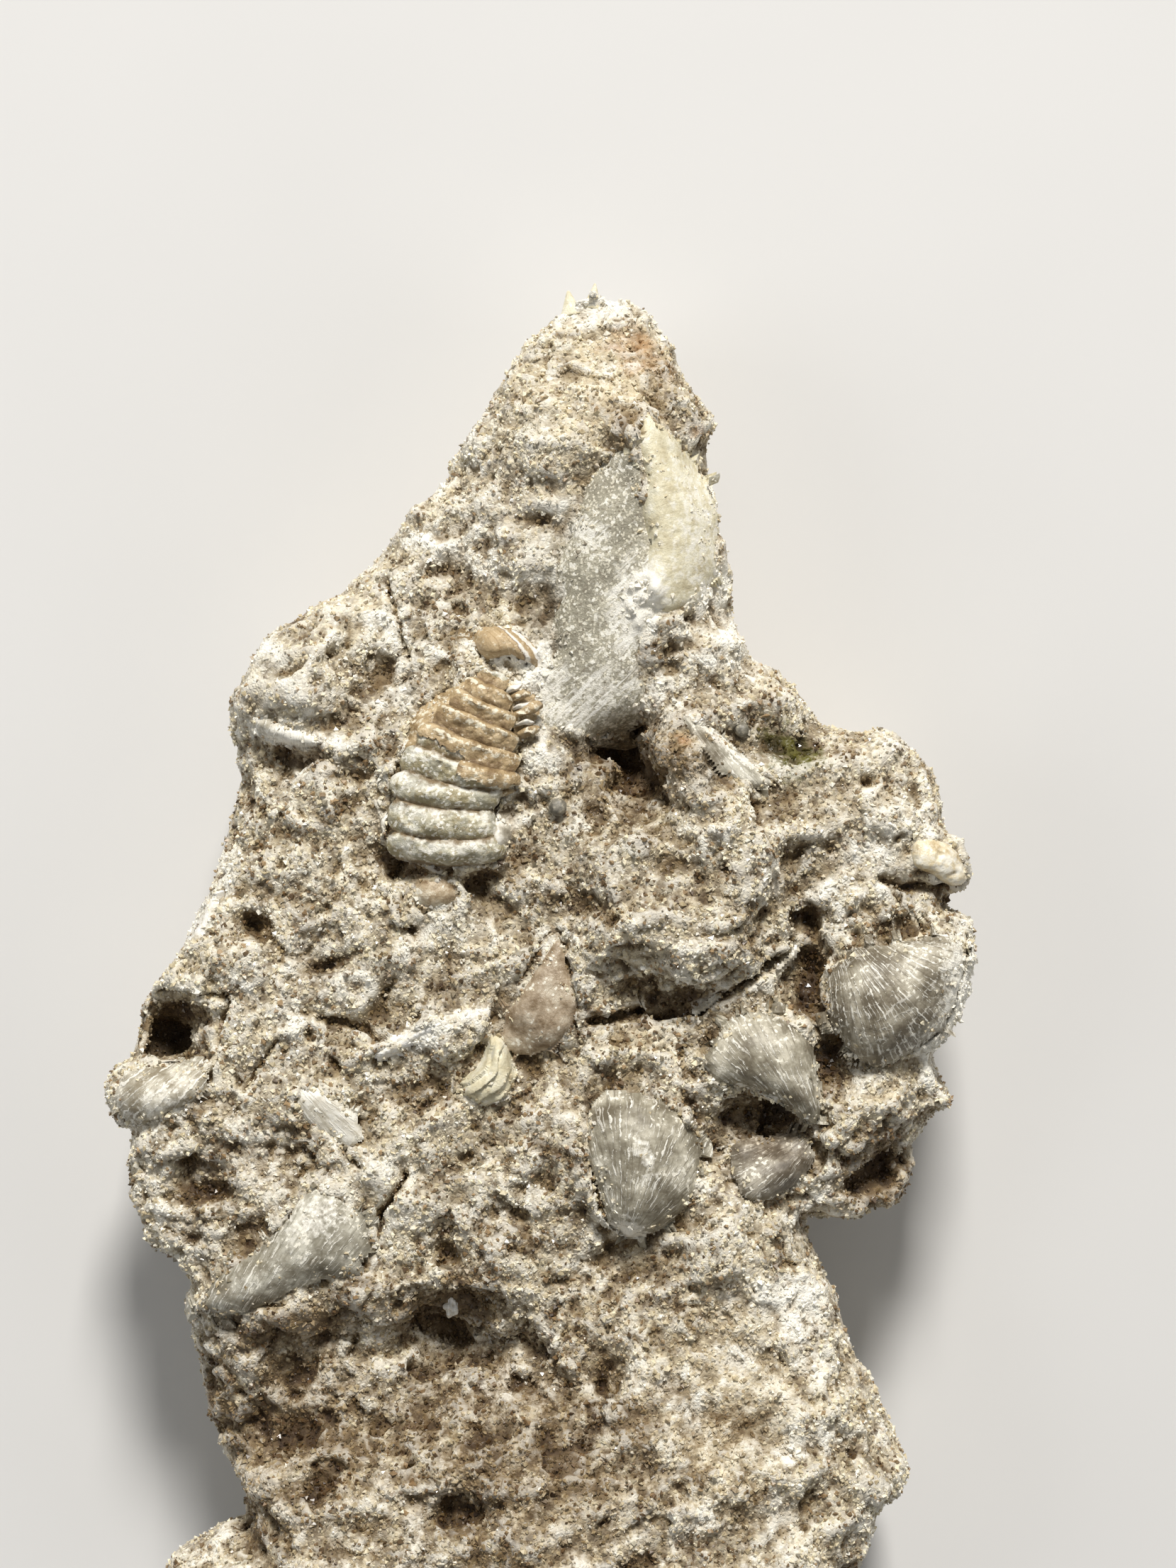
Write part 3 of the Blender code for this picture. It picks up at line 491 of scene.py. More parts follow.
GOLDEN = [
    (2.6, 29.5, 5.0, 6.0, 0, 0.65),
    (7.0, 22.8, 2.2, 5.5, 0, 0.9),
    (9.6, 17.6, 1.8, 1.6, -40, 0.6),
    (15.0, 11.8, 3.2, 1.4, 0, 0.4),
    (15.5, -3.4, 2.6, 1.0, 20, 0.6),
    (8.5, -17.5, 4.0, 6.0, 0, 0.8),
    (-9.4, 19.4, 2.6, 1.4, 40, 0.5),
    (-5.0, 23.5, 2.5, 3.0, 30, 0.45),
    (3.0, -24.5, 8.0, 1.6, 0, 0.35),
]
MOSSY = [
    (11.7, 12.6, 1.5, 1.0, -20, 1.1),
    (10.9, 11.6, 0.9, 0.3, -40, 0.5),
    (16.2, -13.6, 0.5, 1.0, 20, 0.4),
]
RUSTY = [
    (4.6, 31.2, 2.2, 1.2, -35, 0.6),
    (7.4, 27.5, 0.5, 0.4, 0, 0.7),
    (6.6, 13.0, 0.6, 0.3, -30, 0.6),
]
STAINS = {
    "browned": BROWN_STAINS_AND_PAINTED_SHADE,
    "bleached": BLEACHED,
    "greyed": GREYED,
    "golden": GOLDEN,
    "mossy": MOSSY,
    "rusty": RUSTY,
}


class Finish:
    """A Principled material whose pattern is laid on the piece in millimetres."""

    def __init__(self, name, roughness, specular=0.5):
        self.made = bpy.data.materials.new(name)
        self.made.use_nodes = True
        self.tree = self.made.node_tree
        self.shader = self.tree.nodes["Principled BSDF"]
        self.shader.inputs["Roughness"].default_value = roughness
        self.shader.inputs["Specular IOR Level"].default_value = specular
        place = self.node("ShaderNodeTexCoord").outputs["Object"]
        self.place = self.scaled(place, 1000, 1000, 1000)

    def node(self, kind, inputs=None, **settings):
        """Adds a node; an input is given a value or joined to another node's output."""
        made = self.tree.nodes.new(kind)
        for setting, value in settings.items():
            setattr(made, setting, value)
        for socket, value in (inputs or {}).items():
            if isinstance(value, bpy.types.NodeSocket):
                self.tree.links.new(value, made.inputs[socket])
            else:
                made.inputs[socket].default_value = value
        return made

    def scaled(self, vector, x, y, z):
        return self.node("ShaderNodeMapping", {"Vector": vector, "Scale": (x, y, z)}).outputs["Vector"]

    def cloud(self, size, detail=3.0, roughness=0.6, place=None, distortion=0.0):
        """Soft noise whose patches are about this many millimetres across."""
        inputs = {
            "Vector": place or self.place,
            "Scale": 1 / size,
            "Detail": detail,
            "Roughness": roughness,
            "Distortion": distortion,
        }
        return self.node("ShaderNodeTexNoise", inputs).outputs["Fac"]

    def crystals(self, size, feature="F1", output="Color"):
        """Cells like crystal grains, each of its own shade, or what else the cells give."""
        inputs = {"Vector": self.place, "Scale": 1 / size}
        return self.node("ShaderNodeTexVoronoi", inputs, feature=feature).outputs[output]

    def crystal_edges(self, size):
        """How far each place is from the edge of its crystal."""
        return self.crystals(size, "DISTANCE_TO_EDGE", "Distance")

    def attribute(self, name):
        return self.node("ShaderNodeAttribute", attribute_name=name).outputs["Fac"]

    def between(self, value, low, high, start=0.0, end=1.0):
        """Maps a value's range from low to high onto start to end, and stops there."""
        inputs = {"Value": value, "From Min": low, "From Max": high, "To Min": start, "To Max": end}
        return self.node("ShaderNodeMapRange", inputs).outputs["Result"]

    def sum_of(self, a, b, operation="ADD"):
        return self.node("ShaderNodeMath", {0: a, 1: b}, operation=operation).outputs[0]

    def times(self, a, b):
        return self.sum_of(a, b, "MULTIPLY")

    def swayed(self, value, cloud, start, end, spread=0.15):
        """A value frayed by a cloud: moved by start where the cloud is thin and by end where it is thick."""
        return self.sum_of(value, self.between(cloud, 0.5 - spread, 0.5 + spread, start, end))

    def ramp(self, value, *stops):
        """Colours along a value, each stop a position and a colour."""
        made = self.node("ShaderNodeValToRGB", {"Fac": value})
        elements = made.color_ramp.elements
        while len(elements) < len(stops):
            elements.new(0.5)
        for element, (position, colour) in zip(elements, stops):
            element.position = position
            element.color = (*colour, 1.0)
        return made.outputs["Color"]

    def mix(self, share, a, b, blend="MIX"):
        """Mixes two colours by a share of the second."""
        made = self.node("ShaderNodeMix", data_type="RGBA", blend_type=blend)
        for socket, value in ((0, share), (6, a), (7, b)):
            if isinstance(value, bpy.types.NodeSocket):
                self.tree.links.new(value, made.inputs[socket])
            elif isinstance(value, tuple):
                made.inputs[socket].default_value = (*value, 1.0)
            else:
                made.inputs[socket].default_value = value
        return made.outputs[2]

    def laid(self, colour, paint, value, low, high, share=1.0):
        """A colour with paint laid over it, up to a share, as a value goes from low to high."""
        return self.mix(self.between(value, low, high, 0.0, share), colour, paint)

    def tinted(self, colour, tint):
        return self.mix(1.0, colour, tint, "MULTIPLY")

    def raised(self, height, millimetres, strength=1.0, under=None):
        """Fine relief from a pattern, this many millimetres high."""
        inputs = {"Height": height, "Distance": millimetres * MM, "Strength": strength}
        if under:
            inputs["Normal"] = under
        return self.node("ShaderNodeBump", inputs).outputs["Normal"]

    def use(self, colour, normal=None, roughness=None):
        self.tree.links.new(colour, self.shader.inputs["Base Color"])
        if normal:
            self.tree.links.new(normal, self.shader.inputs["Normal"])
        if roughness:
            self.tree.links.new(roughness, self.shader.inputs["Roughness"])
        return self.made


def stained(stone, colour, close):
    """Lays the rock's stains over a colour, with painted shade in its pits and hollows; close is a fine cloud
    that frays them.
    """
    felt = {name: stone.attribute(name) for name in (*STAINS, "relief", "broad_relief")}
    speckles = stone.between(stone.crystals(0.18), 0.62, 0.74, 0.0, 0.85)
    clear = stone.ramp(close, (0.35, (0.26, 0.24, 0.19)), (0.65, (0.52, 0.485, 0.39)))
    clear = stone.mix(speckles, clear, CALCITE_WHITE)
    colour = stone.laid(colour, clear, felt["greyed"], 0.15, 0.6)
    colour = stone.laid(colour, GOLD, stone.swayed(felt["golden"], close, -0.3, 0.1), 0.1, 0.7, 0.55)
    patches = stone.cloud(2.6, 5.0, 0.7)
    bleach = stone.sum_of(felt["bleached"], stone.between(close, 0.35, 0.6, -0.25, 0.25))
    bleach = stone.sum_of(bleach, stone.between(patches, 0.5, 0.62, 0.0, 0.5))
    colour = stone.laid(colour, CALCITE_WHITE, bleach, 0.3, 0.75)
    # Brown stains, which are painted shade too where they lie in the cavity, the hollows and under the ledges,
    # deepen to dark earth.
    brown = stone.swayed(felt["browned"], close, 0.2, -0.3)
    brown = stone.sum_of(brown, stone.between(patches, 0.48, 0.36, 0.0, 0.62))
    brown = stone.sum_of(brown, stone.between(felt["bleached"], 0.3, 0.8, 0.0, -0.6))
    colour = stone.laid(colour, stone.tinted(colour, BROWN_TINT), brown, 0.1, 0.75)
    colour = stone.laid(colour, DARK_EARTH, brown, 0.7, 1.2, 0.7)
    colour = stone.laid(colour, MOSS, stone.swayed(felt["mossy"], close, -0.5, 0.3), 0.2, 0.7)
    colour = stone.laid(colour, RUST, stone.swayed(felt["rusty"], close, -0.3, 0.2, 0.2), 0.2, 0.8)
    pale = stone.sum_of(felt["golden"], felt["bleached"], "MAXIMUM")
    # Painted shade: the pits are darkened, less on the pale stretches.
    pits = stone.between(felt["relief"], -0.02, -0.16)
    pits = stone.times(pits, stone.between(pale, 0.15, 0.7, 1.0, 0.35))
    colour = stone.mix(pits, colour, stone.tinted(colour, PIT_SHADE_TINT))
    # Painted shade: the broad hollows are darkened, down to deep brown in the deepest.
    hollow = felt["broad_relief"]
    colour = stone.laid(colour, stone.tinted(colour, HOLLOW_SHADE_TINT), hollow, 0.05, -0.4, 0.8)
    return stone.laid(colour, DEEP_HOLLOW_SHADE, hollow, -0.6, -1.5)


def sugary_limestone():
    """Cream and brown limestone of tiny calcite grains, with painted shade in its pits and a painted highlight
    on its tips.
    """
    stone = Finish("sugary limestone", 0.75)
    broad = stone.cloud(4.5, 3.0, 0.6)
    close = stone.cloud(0.9, 4.0, 0.7)
    tone = stone.sum_of(stone.times(broad, 0.35), stone.times(close, 0.65))
    colour = stone.ramp(tone, (0.38, EARTH), (0.48, WARM_GREY), (0.58, CREAM), (0.72, CALCITE_WHITE))
    coarse = stone.crystals(0.42)
    shades = ((0.2, EARTH), (0.4, CALCITE_GREY), (0.65, CREAM), (0.85, CALCITE_WHITE))
    colour = stone.mix(0.4, colour, stone.ramp(coarse, *shades))
    fine = stone.crystals(0.2)
    shades = ((0.2, EARTH), (0.45, WARM_GREY), (0.65, CREAM), (0.85, CALCITE_WHITE))
    colour = stone.mix(0.4, colour, stone.ramp(fine, *shades))
    colour = stained(stone, colour, close)
    # Painted highlight: the tips that stand out are whitened, less on the brown stretches.
    tips = stone.between(stone.attribute("relief"), 0.02, 0.13, 0.0, 0.5)
    tips = stone.times(tips, stone.between(stone.attribute("browned"), 0.4, 0.9, 1.0, 0.3))
    colour = stone.mix(tips, colour, CALCITE_WHITE)
    normal = stone.raised(stone.crystal_edges(0.2), 0.09, 0.9)
    normal = stone.raised(stone.cloud(0.12, 3.0, 0.7), 0.06, 0.7, normal)
    return stone.use(colour, normal, stone.between(fine, 0.7, 0.8, 0.78, 0.3))


places = points_of(rock.data)
facing = np.clip(normals_of(rock.data)[:, 2] * 2 + 0.5, 0, 1)
for name, stretches in STAINS.items():
    save_attribute(rock.data, name, stretch_cover(places, stretches) * facing)
rock.data.materials.append(sugary_limestone())
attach(rock, "root")
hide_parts("limestone_matrix")

# The trilobite's thorax
#
# A calcite cast of nine body rings, rounded bars that lie side by side over one long swell. It is pale where
# the shell has flaked off. Each ring has a painted highlight on its head side and painted shade on its tail
# side and in the grooves.

# Left and right end of each ring in mm, from head to tail, with one more before and after for the outline.
RINGS = [
    ((-2.5, 16.7), (-1.6, 16.4)),
    ((-2.9, 16.25), (-1.4, 15.6)),
    ((-3.5, 15.65), (-1.25, 14.6)),
    ((-4.1, 15.1), (-1.1, 13.75)),
    ((-4.8, 14.4), (-1.0, 12.8)),
    ((-5.7, 13.5), (-0.9, 11.85)),
    ((-6.35, 12.4), (-0.9, 11.0)),
    ((-6.95, 11.1), (-1.8, 10.35)),
    ((-7.0, 9.7), (-2.0, 9.3)),
    ((-7.1, 8.2), (-1.5, 8.0)),
    ((-6.9, 7.0), (-1.7, 6.9)),
]
RING_COUNT = 9
RING_SAG = 0.35  # the last rings bow this far towards the tail
RING_RISE = 0.38
RING_NOTCH = 0.42  # the ring ends are rounded, so the sides are drawn in this far at each groove
THORAX_CROWN = 1.0
THORAX_SINK = 0.18  # the swell starts this far below the rim of the seat
RIM_REACH = 0.45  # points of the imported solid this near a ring's end belong to its rim
RIM_RISE = 0.2  # and stand this far above the bed
# The height of the first rings, from the head's side of each to the tail's.
TILE_PHASES = (0.0, 0.10, 0.20, 0.32, 0.6, 0.86, 1.0)
TILE_HEIGHTS = (0.0, 0.62, 1.0, 0.84, 0.52, 0.22, 0.0)
RING_STEPS = 20  # rows of the mesh to each ring
THORAX_COLUMNS = 72
THORAX_WALL = 1.3


def ring_end(side, index):
    """Where the rings end on one side, for places between the rings too."""
    numbers = np.arange(-1, len(RINGS) - 1)
    return (np.interp(index, numbers, [ring[side][axis] for ring in RINGS]) for axis in (0, 1))


def thorax_bed():
    """The plane on which the thorax lies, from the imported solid's rim: height, slope along x and along y."""
    places = points_of(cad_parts["trilobite_thorax"].data)
    rim = []
    for ring in RINGS[1:-1]:
        for end_x, end_y in ring:
            near = np.hypot(places[:, 0] - end_x, places[:, 1] - end_y) < RIM_REACH
            rim.append((end_x, end_y, places[near, 2].max() - RIM_RISE))
    rim = np.array(rim)
    terms = np.column_stack((np.ones(len(rim)), rim[:, 0], rim[:, 1]))
    return np.linalg.lstsq(terms, rim[:, 2], rcond=None)[0]


def thorax_surface(across, index):
    """Place of each point of the cast, how far up its ring it is, and how far to the ring's tail side."""
    left_x, left_y = ring_end(0, index)
    right_x, right_y = ring_end(1, index)
    wander = np.column_stack((across * 4.0, index * 0.9, across * 0))
    phase = (index + 0.5 + 0.13 * per_point(wander, noise.noise)) % 1.0
    rounded = np.sin(np.pi * phase**1.2) ** 0.75
    tiled = np.interp(phase, TILE_PHASES, TILE_HEIGHTS)
    crest = tiled + (rounded - tiled) * np.clip((index - 4.2) / 1.4, 0, 1)
    notch = RING_NOTCH * (1 - crest) ** 1.3
    length = np.hypot(right_x - left_x, right_y - left_y)
    across = across * (1 - 2 * notch / length) + notch / length
    arch = 4 * across * (1 - across)
    round_arch = np.sqrt(np.clip(arch, 0, 1))
    x = left_x + (right_x - left_x) * across
    y = left_y + (right_y - left_y) * across - RING_SAG * np.clip(index / 8, 0, 1) * arch
    ends = np.clip(np.minimum((index + 0.3) / 1.5, (8.5 - index) / 0.8), 0, 1)
    swell = THORAX_CROWN * round_arch * (0.35 + 0.65 * ends)
    flat = np.column_stack((x, y, x * 0))
    uneven = per_point(flat * 1.1, noise.noise)
    worn = per_point(flat * 2.9 + 3.0, noise.noise) + 0.5 * per_point(flat * 6.5, noise.noise)
    rise = RING_RISE * np.interp(index, [3.5, 6.0], [0.8, 1.0])
    rise *= (0.25 + 0.75 * round_arch) * (1 + 0.5 * uneven)
    height, slope_x, slope_y = thorax_bed()
    bed = height + slope_x * x + slope_y * y - THORAX_SINK
    z = bed + swell + rise * crest + 0.09 * uneven + 0.08 * worn
    return np.column_stack((x, y, z)), crest, phase


def new_piece(name, add, **shape):
    """One of Blender's plain shapes, added as a piece of its own."""
    bpy.ops.object.select_all(action="DESELECT")
    add(**shape)
    piece = bpy.context.object
    piece.name = name
    return piece


def thorax_grid(name):
    """A fine flat grid moved onto the thorax's surface, its crest shares kept as an attribute."""
    rows = RING_STEPS * RING_COUNT
    add = bpy.ops.mesh.primitive_grid_add
    piece = new_piece(name, add, x_subdivisions=THORAX_COLUMNS, y_subdivisions=rows, size=2)
    flat = points_of(piece.data) * MM
    index = (1 - flat[:, 1]) / 2 * RING_COUNT - 0.5
    places, crest, phase = thorax_surface((flat[:, 0] + 1) / 2, index)
    put_points(piece.data, places)
    save_attribute(piece.data, "crest", crest)
    save_attribute(piece.data, "tailward", phase)
    return piece


def wall_down(piece, depth):
    """Extrudes the open rim of a sheet down and closes it there."""
    with editing(piece):
        bpy.ops.mesh.select_all(action="DESELECT")
        bpy.ops.mesh.select_mode(type="EDGE")
        bpy.ops.mesh.select_non_manifold()
        bpy.ops.mesh.extrude_region_move(TRANSFORM_OT_translate={"value": (0, 0, -depth * MM)})
        bpy.ops.mesh.fill()
        bpy.ops.mesh.select_all(action="SELECT")
        bpy.ops.mesh.normals_make_consistent(inside=False)
    bpy.ops.object.shade_smooth_by_angle(angle=math.radians(50))


def ring_calcite():
    """Milky calcite of the cast, with a white painted highlight on the head side of each ring, olive and brown
    painted shade towards its tail side, and painted shade in the grooves.
    """
    stone = Finish("milky ring calcite", 0.42)
    cloud = stone.cloud(0.9, 3.0, 0.6)
    # Painted light: white on the head side of each ring as a painted highlight, olive and brown towards the
    # tail side as painted shade.
    down = stone.swayed(stone.attribute("tailward"), stone.cloud(0.7, 4.0), -0.65, 0.65, 0.2)
    white, olive, brown = (0.87, 0.84, 0.73), (0.62, 0.585, 0.44), (0.33, 0.285, 0.165)
    colour = stone.ramp(down, (0.15, white), (0.45, olive), (0.8, brown))
    clear = stone.ramp(cloud, (0.4, (0.36, 0.345, 0.26)), (0.6, (0.72, 0.71, 0.62)))
    colour = stone.laid(colour, clear, cloud, 0.52, 0.44, 0.65)
    fine = stone.crystals(0.13)
    colour = stone.laid(colour, CALCITE_WHITE, fine, 0.68, 0.78, 0.8)
    colour = stone.laid(colour, (0.36, 0.28, 0.15), fine, 0.26, 0.16, 0.5)
    # Painted shade: the grooves between the rings are darkened.
    groove = stone.swayed(stone.attribute("crest"), stone.cloud(0.45, 4.0), -0.3, 0.4, 0.2)
    colour = stone.laid(colour, (0.21, 0.145, 0.07), groove, 0.6, 0.12, 0.95)
    normal = stone.raised(stone.cloud(0.3, 4.0, 0.7), 0.16, 0.8)
    normal = stone.raised(fine, 0.04, 0.6, normal)
    return stone.use(colour, normal, stone.between(cloud, 0.35, 0.65, 0.6, 0.3))


cast = thorax_grid("thorax_cast")
wall_down(cast, THORAX_WALL)
cast.data.materials.append(ring_calcite())
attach(cast, "root")
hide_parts("trilobite_thorax")

# The brown shell on the thorax
#
# What is left of the animal's own shell, a brown skin a tenth of a millimetre thick over the first rings and
# the right half of the fifth. Its lower edge is broken off in steps.

SKIN_OUTLINE = [
    (-3.6, 16.0), (-2.4, 16.1), (-1.2, 15.6), (-0.5, 14.9), (-0.5, 13.9), (-0.6, 12.9), (-0.7, 12.1),
    (-0.6, 11.3), (-0.9, 10.85), (-2.3, 11.0), (-3.8, 11.35), (-3.45, 12.2), (-3.6, 12.5), (-4.05, 12.5),
    (-4.6, 12.85), (-4.75, 13.05), (-5.4, 13.2), (-6.1, 13.7), (-5.2, 14.6), (-4.2, 15.4),
]
SKIN_THICKNESS = 0.1


def inside_outline(x, y, outline):
    """True for each place inside a closed outline."""
    inside = np.zeros(len(x), bool)
    for (ax, ay), (bx, by) in zip(outline, outline[1:] + outline[:1]):
        crosses = (ay > y) != (by > y)
        inside ^= crosses & (x < ax + (y - ay) / (by - ay + 1e-12) * (bx - ax))
    return inside


def break_off(piece, outline, wander, wander_size):
    """Deletes a sheet's faces outside an outline, whose edge is broken unevenly."""
    only(piece)
    centres = np.array([tuple(face.center) for face in piece.data.polygons]) / MM
    shift_x = wander * per_point(centres / wander_size, noise.noise)
    shift_y = wander * per_point(centres / wander_size + 40.0, noise.noise)
    kept = inside_outline(centres[:, 0] + shift_x, centres[:, 1] + shift_y, outline)
    piece.data.polygons.foreach_set("select", ~kept)
    bpy.ops.object.mode_set(mode="EDIT")
    bpy.ops.mesh.select_mode(type="FACE")
    bpy.ops.object.mode_set(mode="OBJECT")
    piece.data.polygons.foreach_set("select", ~kept)
    bpy.ops.object.mode_set(mode="EDIT")
    bpy.ops.mesh.delete(type="FACE")
    bpy.ops.object.mode_set(mode="OBJECT")


def brown_skin():
    """Caramel-brown fossil shell with a soft gloss, a thin cream painted highlight on every ring crest, and
    painted shade in the grooves.
    """
    skin = Finish("brown trilobite shell", 0.34)
    cloud = skin.cloud(0.8, 4.0, 0.65)
    dark, caramel, pale = (0.25, 0.165, 0.075), (0.46, 0.335, 0.18), (0.64, 0.50, 0.30)
    colour = skin.ramp(cloud, (0.36, dark), (0.5, caramel), (0.62, pale))
    # Painted light: the grooves are darkened as painted shade, and each crest gets a thin cream painted
    # highlight.
    crest_light_and_groove_shade = skin.swayed(skin.attribute("crest"), skin.cloud(0.3, 4.0), -0.3, 0.3, 0.2)
    colour = skin.laid(colour, (0.17, 0.105, 0.05), crest_light_and_groove_shade, 0.55, 0.08, 0.8)
    colour = skin.laid(colour, (0.90, 0.83, 0.65), crest_light_and_groove_shade, 0.86, 1.0, 0.9)
    fine = skin.swayed(skin.crystals(0.1), cloud, -0.12, 0.06, 0.1)
    colour = skin.laid(colour, (0.88, 0.81, 0.66), fine, 0.84, 0.92, 0.8)
    normal = skin.raised(skin.cloud(0.22, 4.0, 0.7), 0.12, 0.8)
    return skin.use(colour, normal, skin.between(cloud, 0.3, 0.7, 0.45, 0.25))


skin = thorax_grid("thorax_shell")
break_off(skin, SKIN_OUTLINE, 0.22, 0.35)
finish_with(skin, "SOLIDIFY", thickness=SKIN_THICKNESS * MM, offset=1.0, use_even_offset=True)
bpy.ops.object.shade_smooth_by_angle(angle=math.radians(50))
brown_shell_finish = brown_skin()
skin.data.materials.append(brown_shell_finish)
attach(skin, "root")

# The side flap of the shell and the other thin flakes
#
# Thin pieces of shell that lie in the rock's face: a flap of the trilobite's side beside its first rings,
# brown and grey bits at the right ends of the rings, slips of grey shell near the hump, and white ones.

# Name: how far it stands above the face around it and its thickness in mm, finish, outline in mm.
FLAKES = {
    "side_flap_of_the_shell": (0.35, 0.3, "brown", [
        (-3.2, 15.9), (-4.0, 15.6), (-4.9, 15.1), (-5.7, 14.5), (-6.2, 13.8), (-6.1, 13.2), (-6.5, 12.7),
        (-6.2, 12.3), (-5.5, 12.8), (-4.9, 13.5), (-4.1, 14.4), (-3.2, 15.3),
    ]),
    "shell_under_the_side_ribs": (0.05, 0.3, "brown", [
        (-1.5, 15.6), (-0.7, 15.7), (0.0, 15.2), (0.3, 14.6), (0.1, 13.8), (-0.2, 13.1), (-0.8, 13.0),
        (-1.2, 13.4), (-1.3, 14.4),
    ]),
    "angular_bit_at_the_rings": (0.6, 0.4, "grey", [
        (-2.2, 9.35), (-1.7, 9.45), (-1.2, 9.0), (-1.25, 8.3), (-1.7, 7.9), (-2.1, 7.95), (-2.3, 8.6),
    ]),
    "bit_at_the_seventh_ring": (0.5, 0.3, "brown", [
        (-2.4, 10.7), (-1.9, 10.95), (-1.0, 10.8), (-0.8, 10.5), (-1.7, 10.25),
    ]),
    "slip_over_the_crease": (0.4, 0.3, "grey", [
        (7.0, 0.45), (7.6, 0.9), (8.3, 1.35), (8.5, 1.2), (7.9, 0.6), (7.2, 0.25),
    ]),
    "slip_at_the_channel": (0.4, 0.3, "grey", [
        (10.9, 2.4), (11.6, 3.0), (12.1, 3.8), (12.3, 3.7), (11.9, 2.8), (11.1, 2.2),
    ]),
    "white_ridge": (0.2, 0.4, "white", [
        (-7.8, -1.5), (-6.6, -0.6), (-5.4, -0.1), (-4.2, 0.5), (-3.2, 0.9), (-3.1, 0.3), (-4.2, -0.3),
        (-5.4, -0.8), (-6.4, -1.5), (-7.4, -1.9),
    ]),
    "shell_at_the_left_rim": (0.4, 0.4, "white", [
        (-16.6, 3.6), (-16.0, 4.7), (-15.3, 5.8), (-14.9, 5.4), (-15.4, 4.4), (-16.0, 3.4),
    ]),
}
SHEET_CELL = 0.12
SHEET_MARGIN = 0.3  # the grid of a sheet is this much larger than its outline, in mm
RIM_WIDTH = 0.25  # how far in from its rim a sheet comes up to its full height
DIVE_DEPTH = 0.3  # how far its rim goes down into the rock
DIVE_WIDTH = 0.22
SHEET_GAP = 0.12  # the rock stays this far below a sheet's face
LOWEST_FACE = 2.0  # rock below this height is the underside, which no sheet touches


def sheet(name, outline, lift, thickness, smoothing=60, cell=SHEET_CELL, overlap=0.22, crown=0.0):
    """A thin shell over an outline, its rim down in the rock, which is lowered to clear the rest of it."""
    low_x, low_y = (min(point[axis] for point in outline) - SHEET_MARGIN for axis in (0, 1))
    high_x, high_y = (max(point[axis] for point in outline) + SHEET_MARGIN for axis in (0, 1))
    columns, rows = int((high_x - low_x) / cell), int((high_y - low_y) / cell)
    add = bpy.ops.mesh.primitive_grid_add
    piece = new_piece(name, add, x_subdivisions=columns, y_subdivisions=rows, size=2)
    flat = points_of(piece.data) * MM
    x = low_x + (flat[:, 0] + 1) / 2 * (high_x - low_x)
    y = low_y + (flat[:, 1] + 1) / 2 * (high_y - low_y)
    heights = [height_at(whole_face, *place) for place in zip(x, y)]
    known = [height for height in heights if height is not None]
    heights = np.array([np.median(known) if height is None else height for height in heights])
    put_points(piece.data, np.column_stack((x, y, heights)))
    finish_with(piece, "SMOOTH", factor=0.5, iterations=smoothing, use_x=False, use_y=False)
    places = points_of(piece.data)
    x, y, z = places.T
    rim = outline + outline[:1]
    from_rim = distance_to_line(x, y, rim)
    rise = lift * (1 - np.exp(-from_rim / RIM_WIDTH)) + crown * np.sqrt(from_rim / from_rim.max())
    rise -= DIVE_DEPTH * np.exp(-from_rim / DIVE_WIDTH)
    rise += 0.03 * per_point(np.column_stack((x, y, x * 0 + 9.0)) * 0.9, noise.noise)
    put_points(piece.data, np.column_stack((x, y, z + rise)))
    break_off(piece, outline, min(0.3, 0.05 * (high_y - low_y)), 0.6)
    stones = points_of(rock.data)
    x, y, z = stones.T
    overlap = overlap * (1 + 0.9 * np.sin(x * 3.1) * np.sin(y * 2.7))
    inside = inside_outline(x, y, outline) & (z > LOWEST_FACE)
    under = np.flatnonzero(inside & (distance_to_line(x, y, rim) > overlap))
    cleared = stones[under]
    keep_below(cleared, tree_of([piece]), SHEET_GAP)
    stones[under] = cleared
    put_points(rock.data, stones)
    finish_with(piece, "SOLIDIFY", thickness=thickness * MM, offset=-1.0)
    bpy.ops.object.shade_smooth_by_angle(angle=math.radians(45))
    return piece


def chip(name, roughness, size, stops, relief):
    """Clouded calcite: stops are its colours, relief its grain's size, roughness, height and strength."""
    finish = Finish(name, roughness)
    colour = finish.ramp(finish.cloud(size, 4.0, 0.65), *stops)
    grain_size, grain, height, strength = relief
    return finish.use(colour, finish.raised(finish.cloud(grain_size, 4.0, grain), height, strength))


CHALKY = ((0.34, (0.55, 0.50, 0.39)), (0.48, (0.84, 0.80, 0.70)), (0.6, (0.95, 0.94, 0.90)))
CLEAR_GREY = ((0.34, (0.28, 0.25, 0.19)), (0.5, (0.52, 0.48, 0.39)), (0.64, (0.86, 0.83, 0.74)))
packed_skin = tree_of(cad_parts.values())
whole_face = tree_of([rock] + list(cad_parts.values()))
flake_finishes = {
    "brown": brown_shell_finish,
    "white": chip("chalky white shell", 0.55, 0.5, CHALKY, (0.18, 0.7, 0.08, 0.7)),
    "grey": chip("clear grey shell", 0.3, 0.7, CLEAR_GREY, (0.2, 0.6, 0.06, 0.6)),
}
crusted = []  # the sheets whose rims catch grains, each with its outline
for name, (lift, thickness, finish, outline) in FLAKES.items():
    piece = sheet(name, outline, lift, thickness)
    crusted.append((piece, outline))
    # A middling crest, so that the brown shell's painted crest highlight and groove shade show on the brown
    # flakes only as faint patches.
    save_attribute(piece.data, "crest", np.full(len(piece.data.vertices), 0.8))
    piece.data.materials.append(flake_finishes[finish])
    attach(piece, "root")

# The trilobite's head
#
# What is left of the head above the rings: a low cap of caramel-brown shell, broken off along its lower
# edge, with the rims of the pale and brown shell layers under it round its right end.

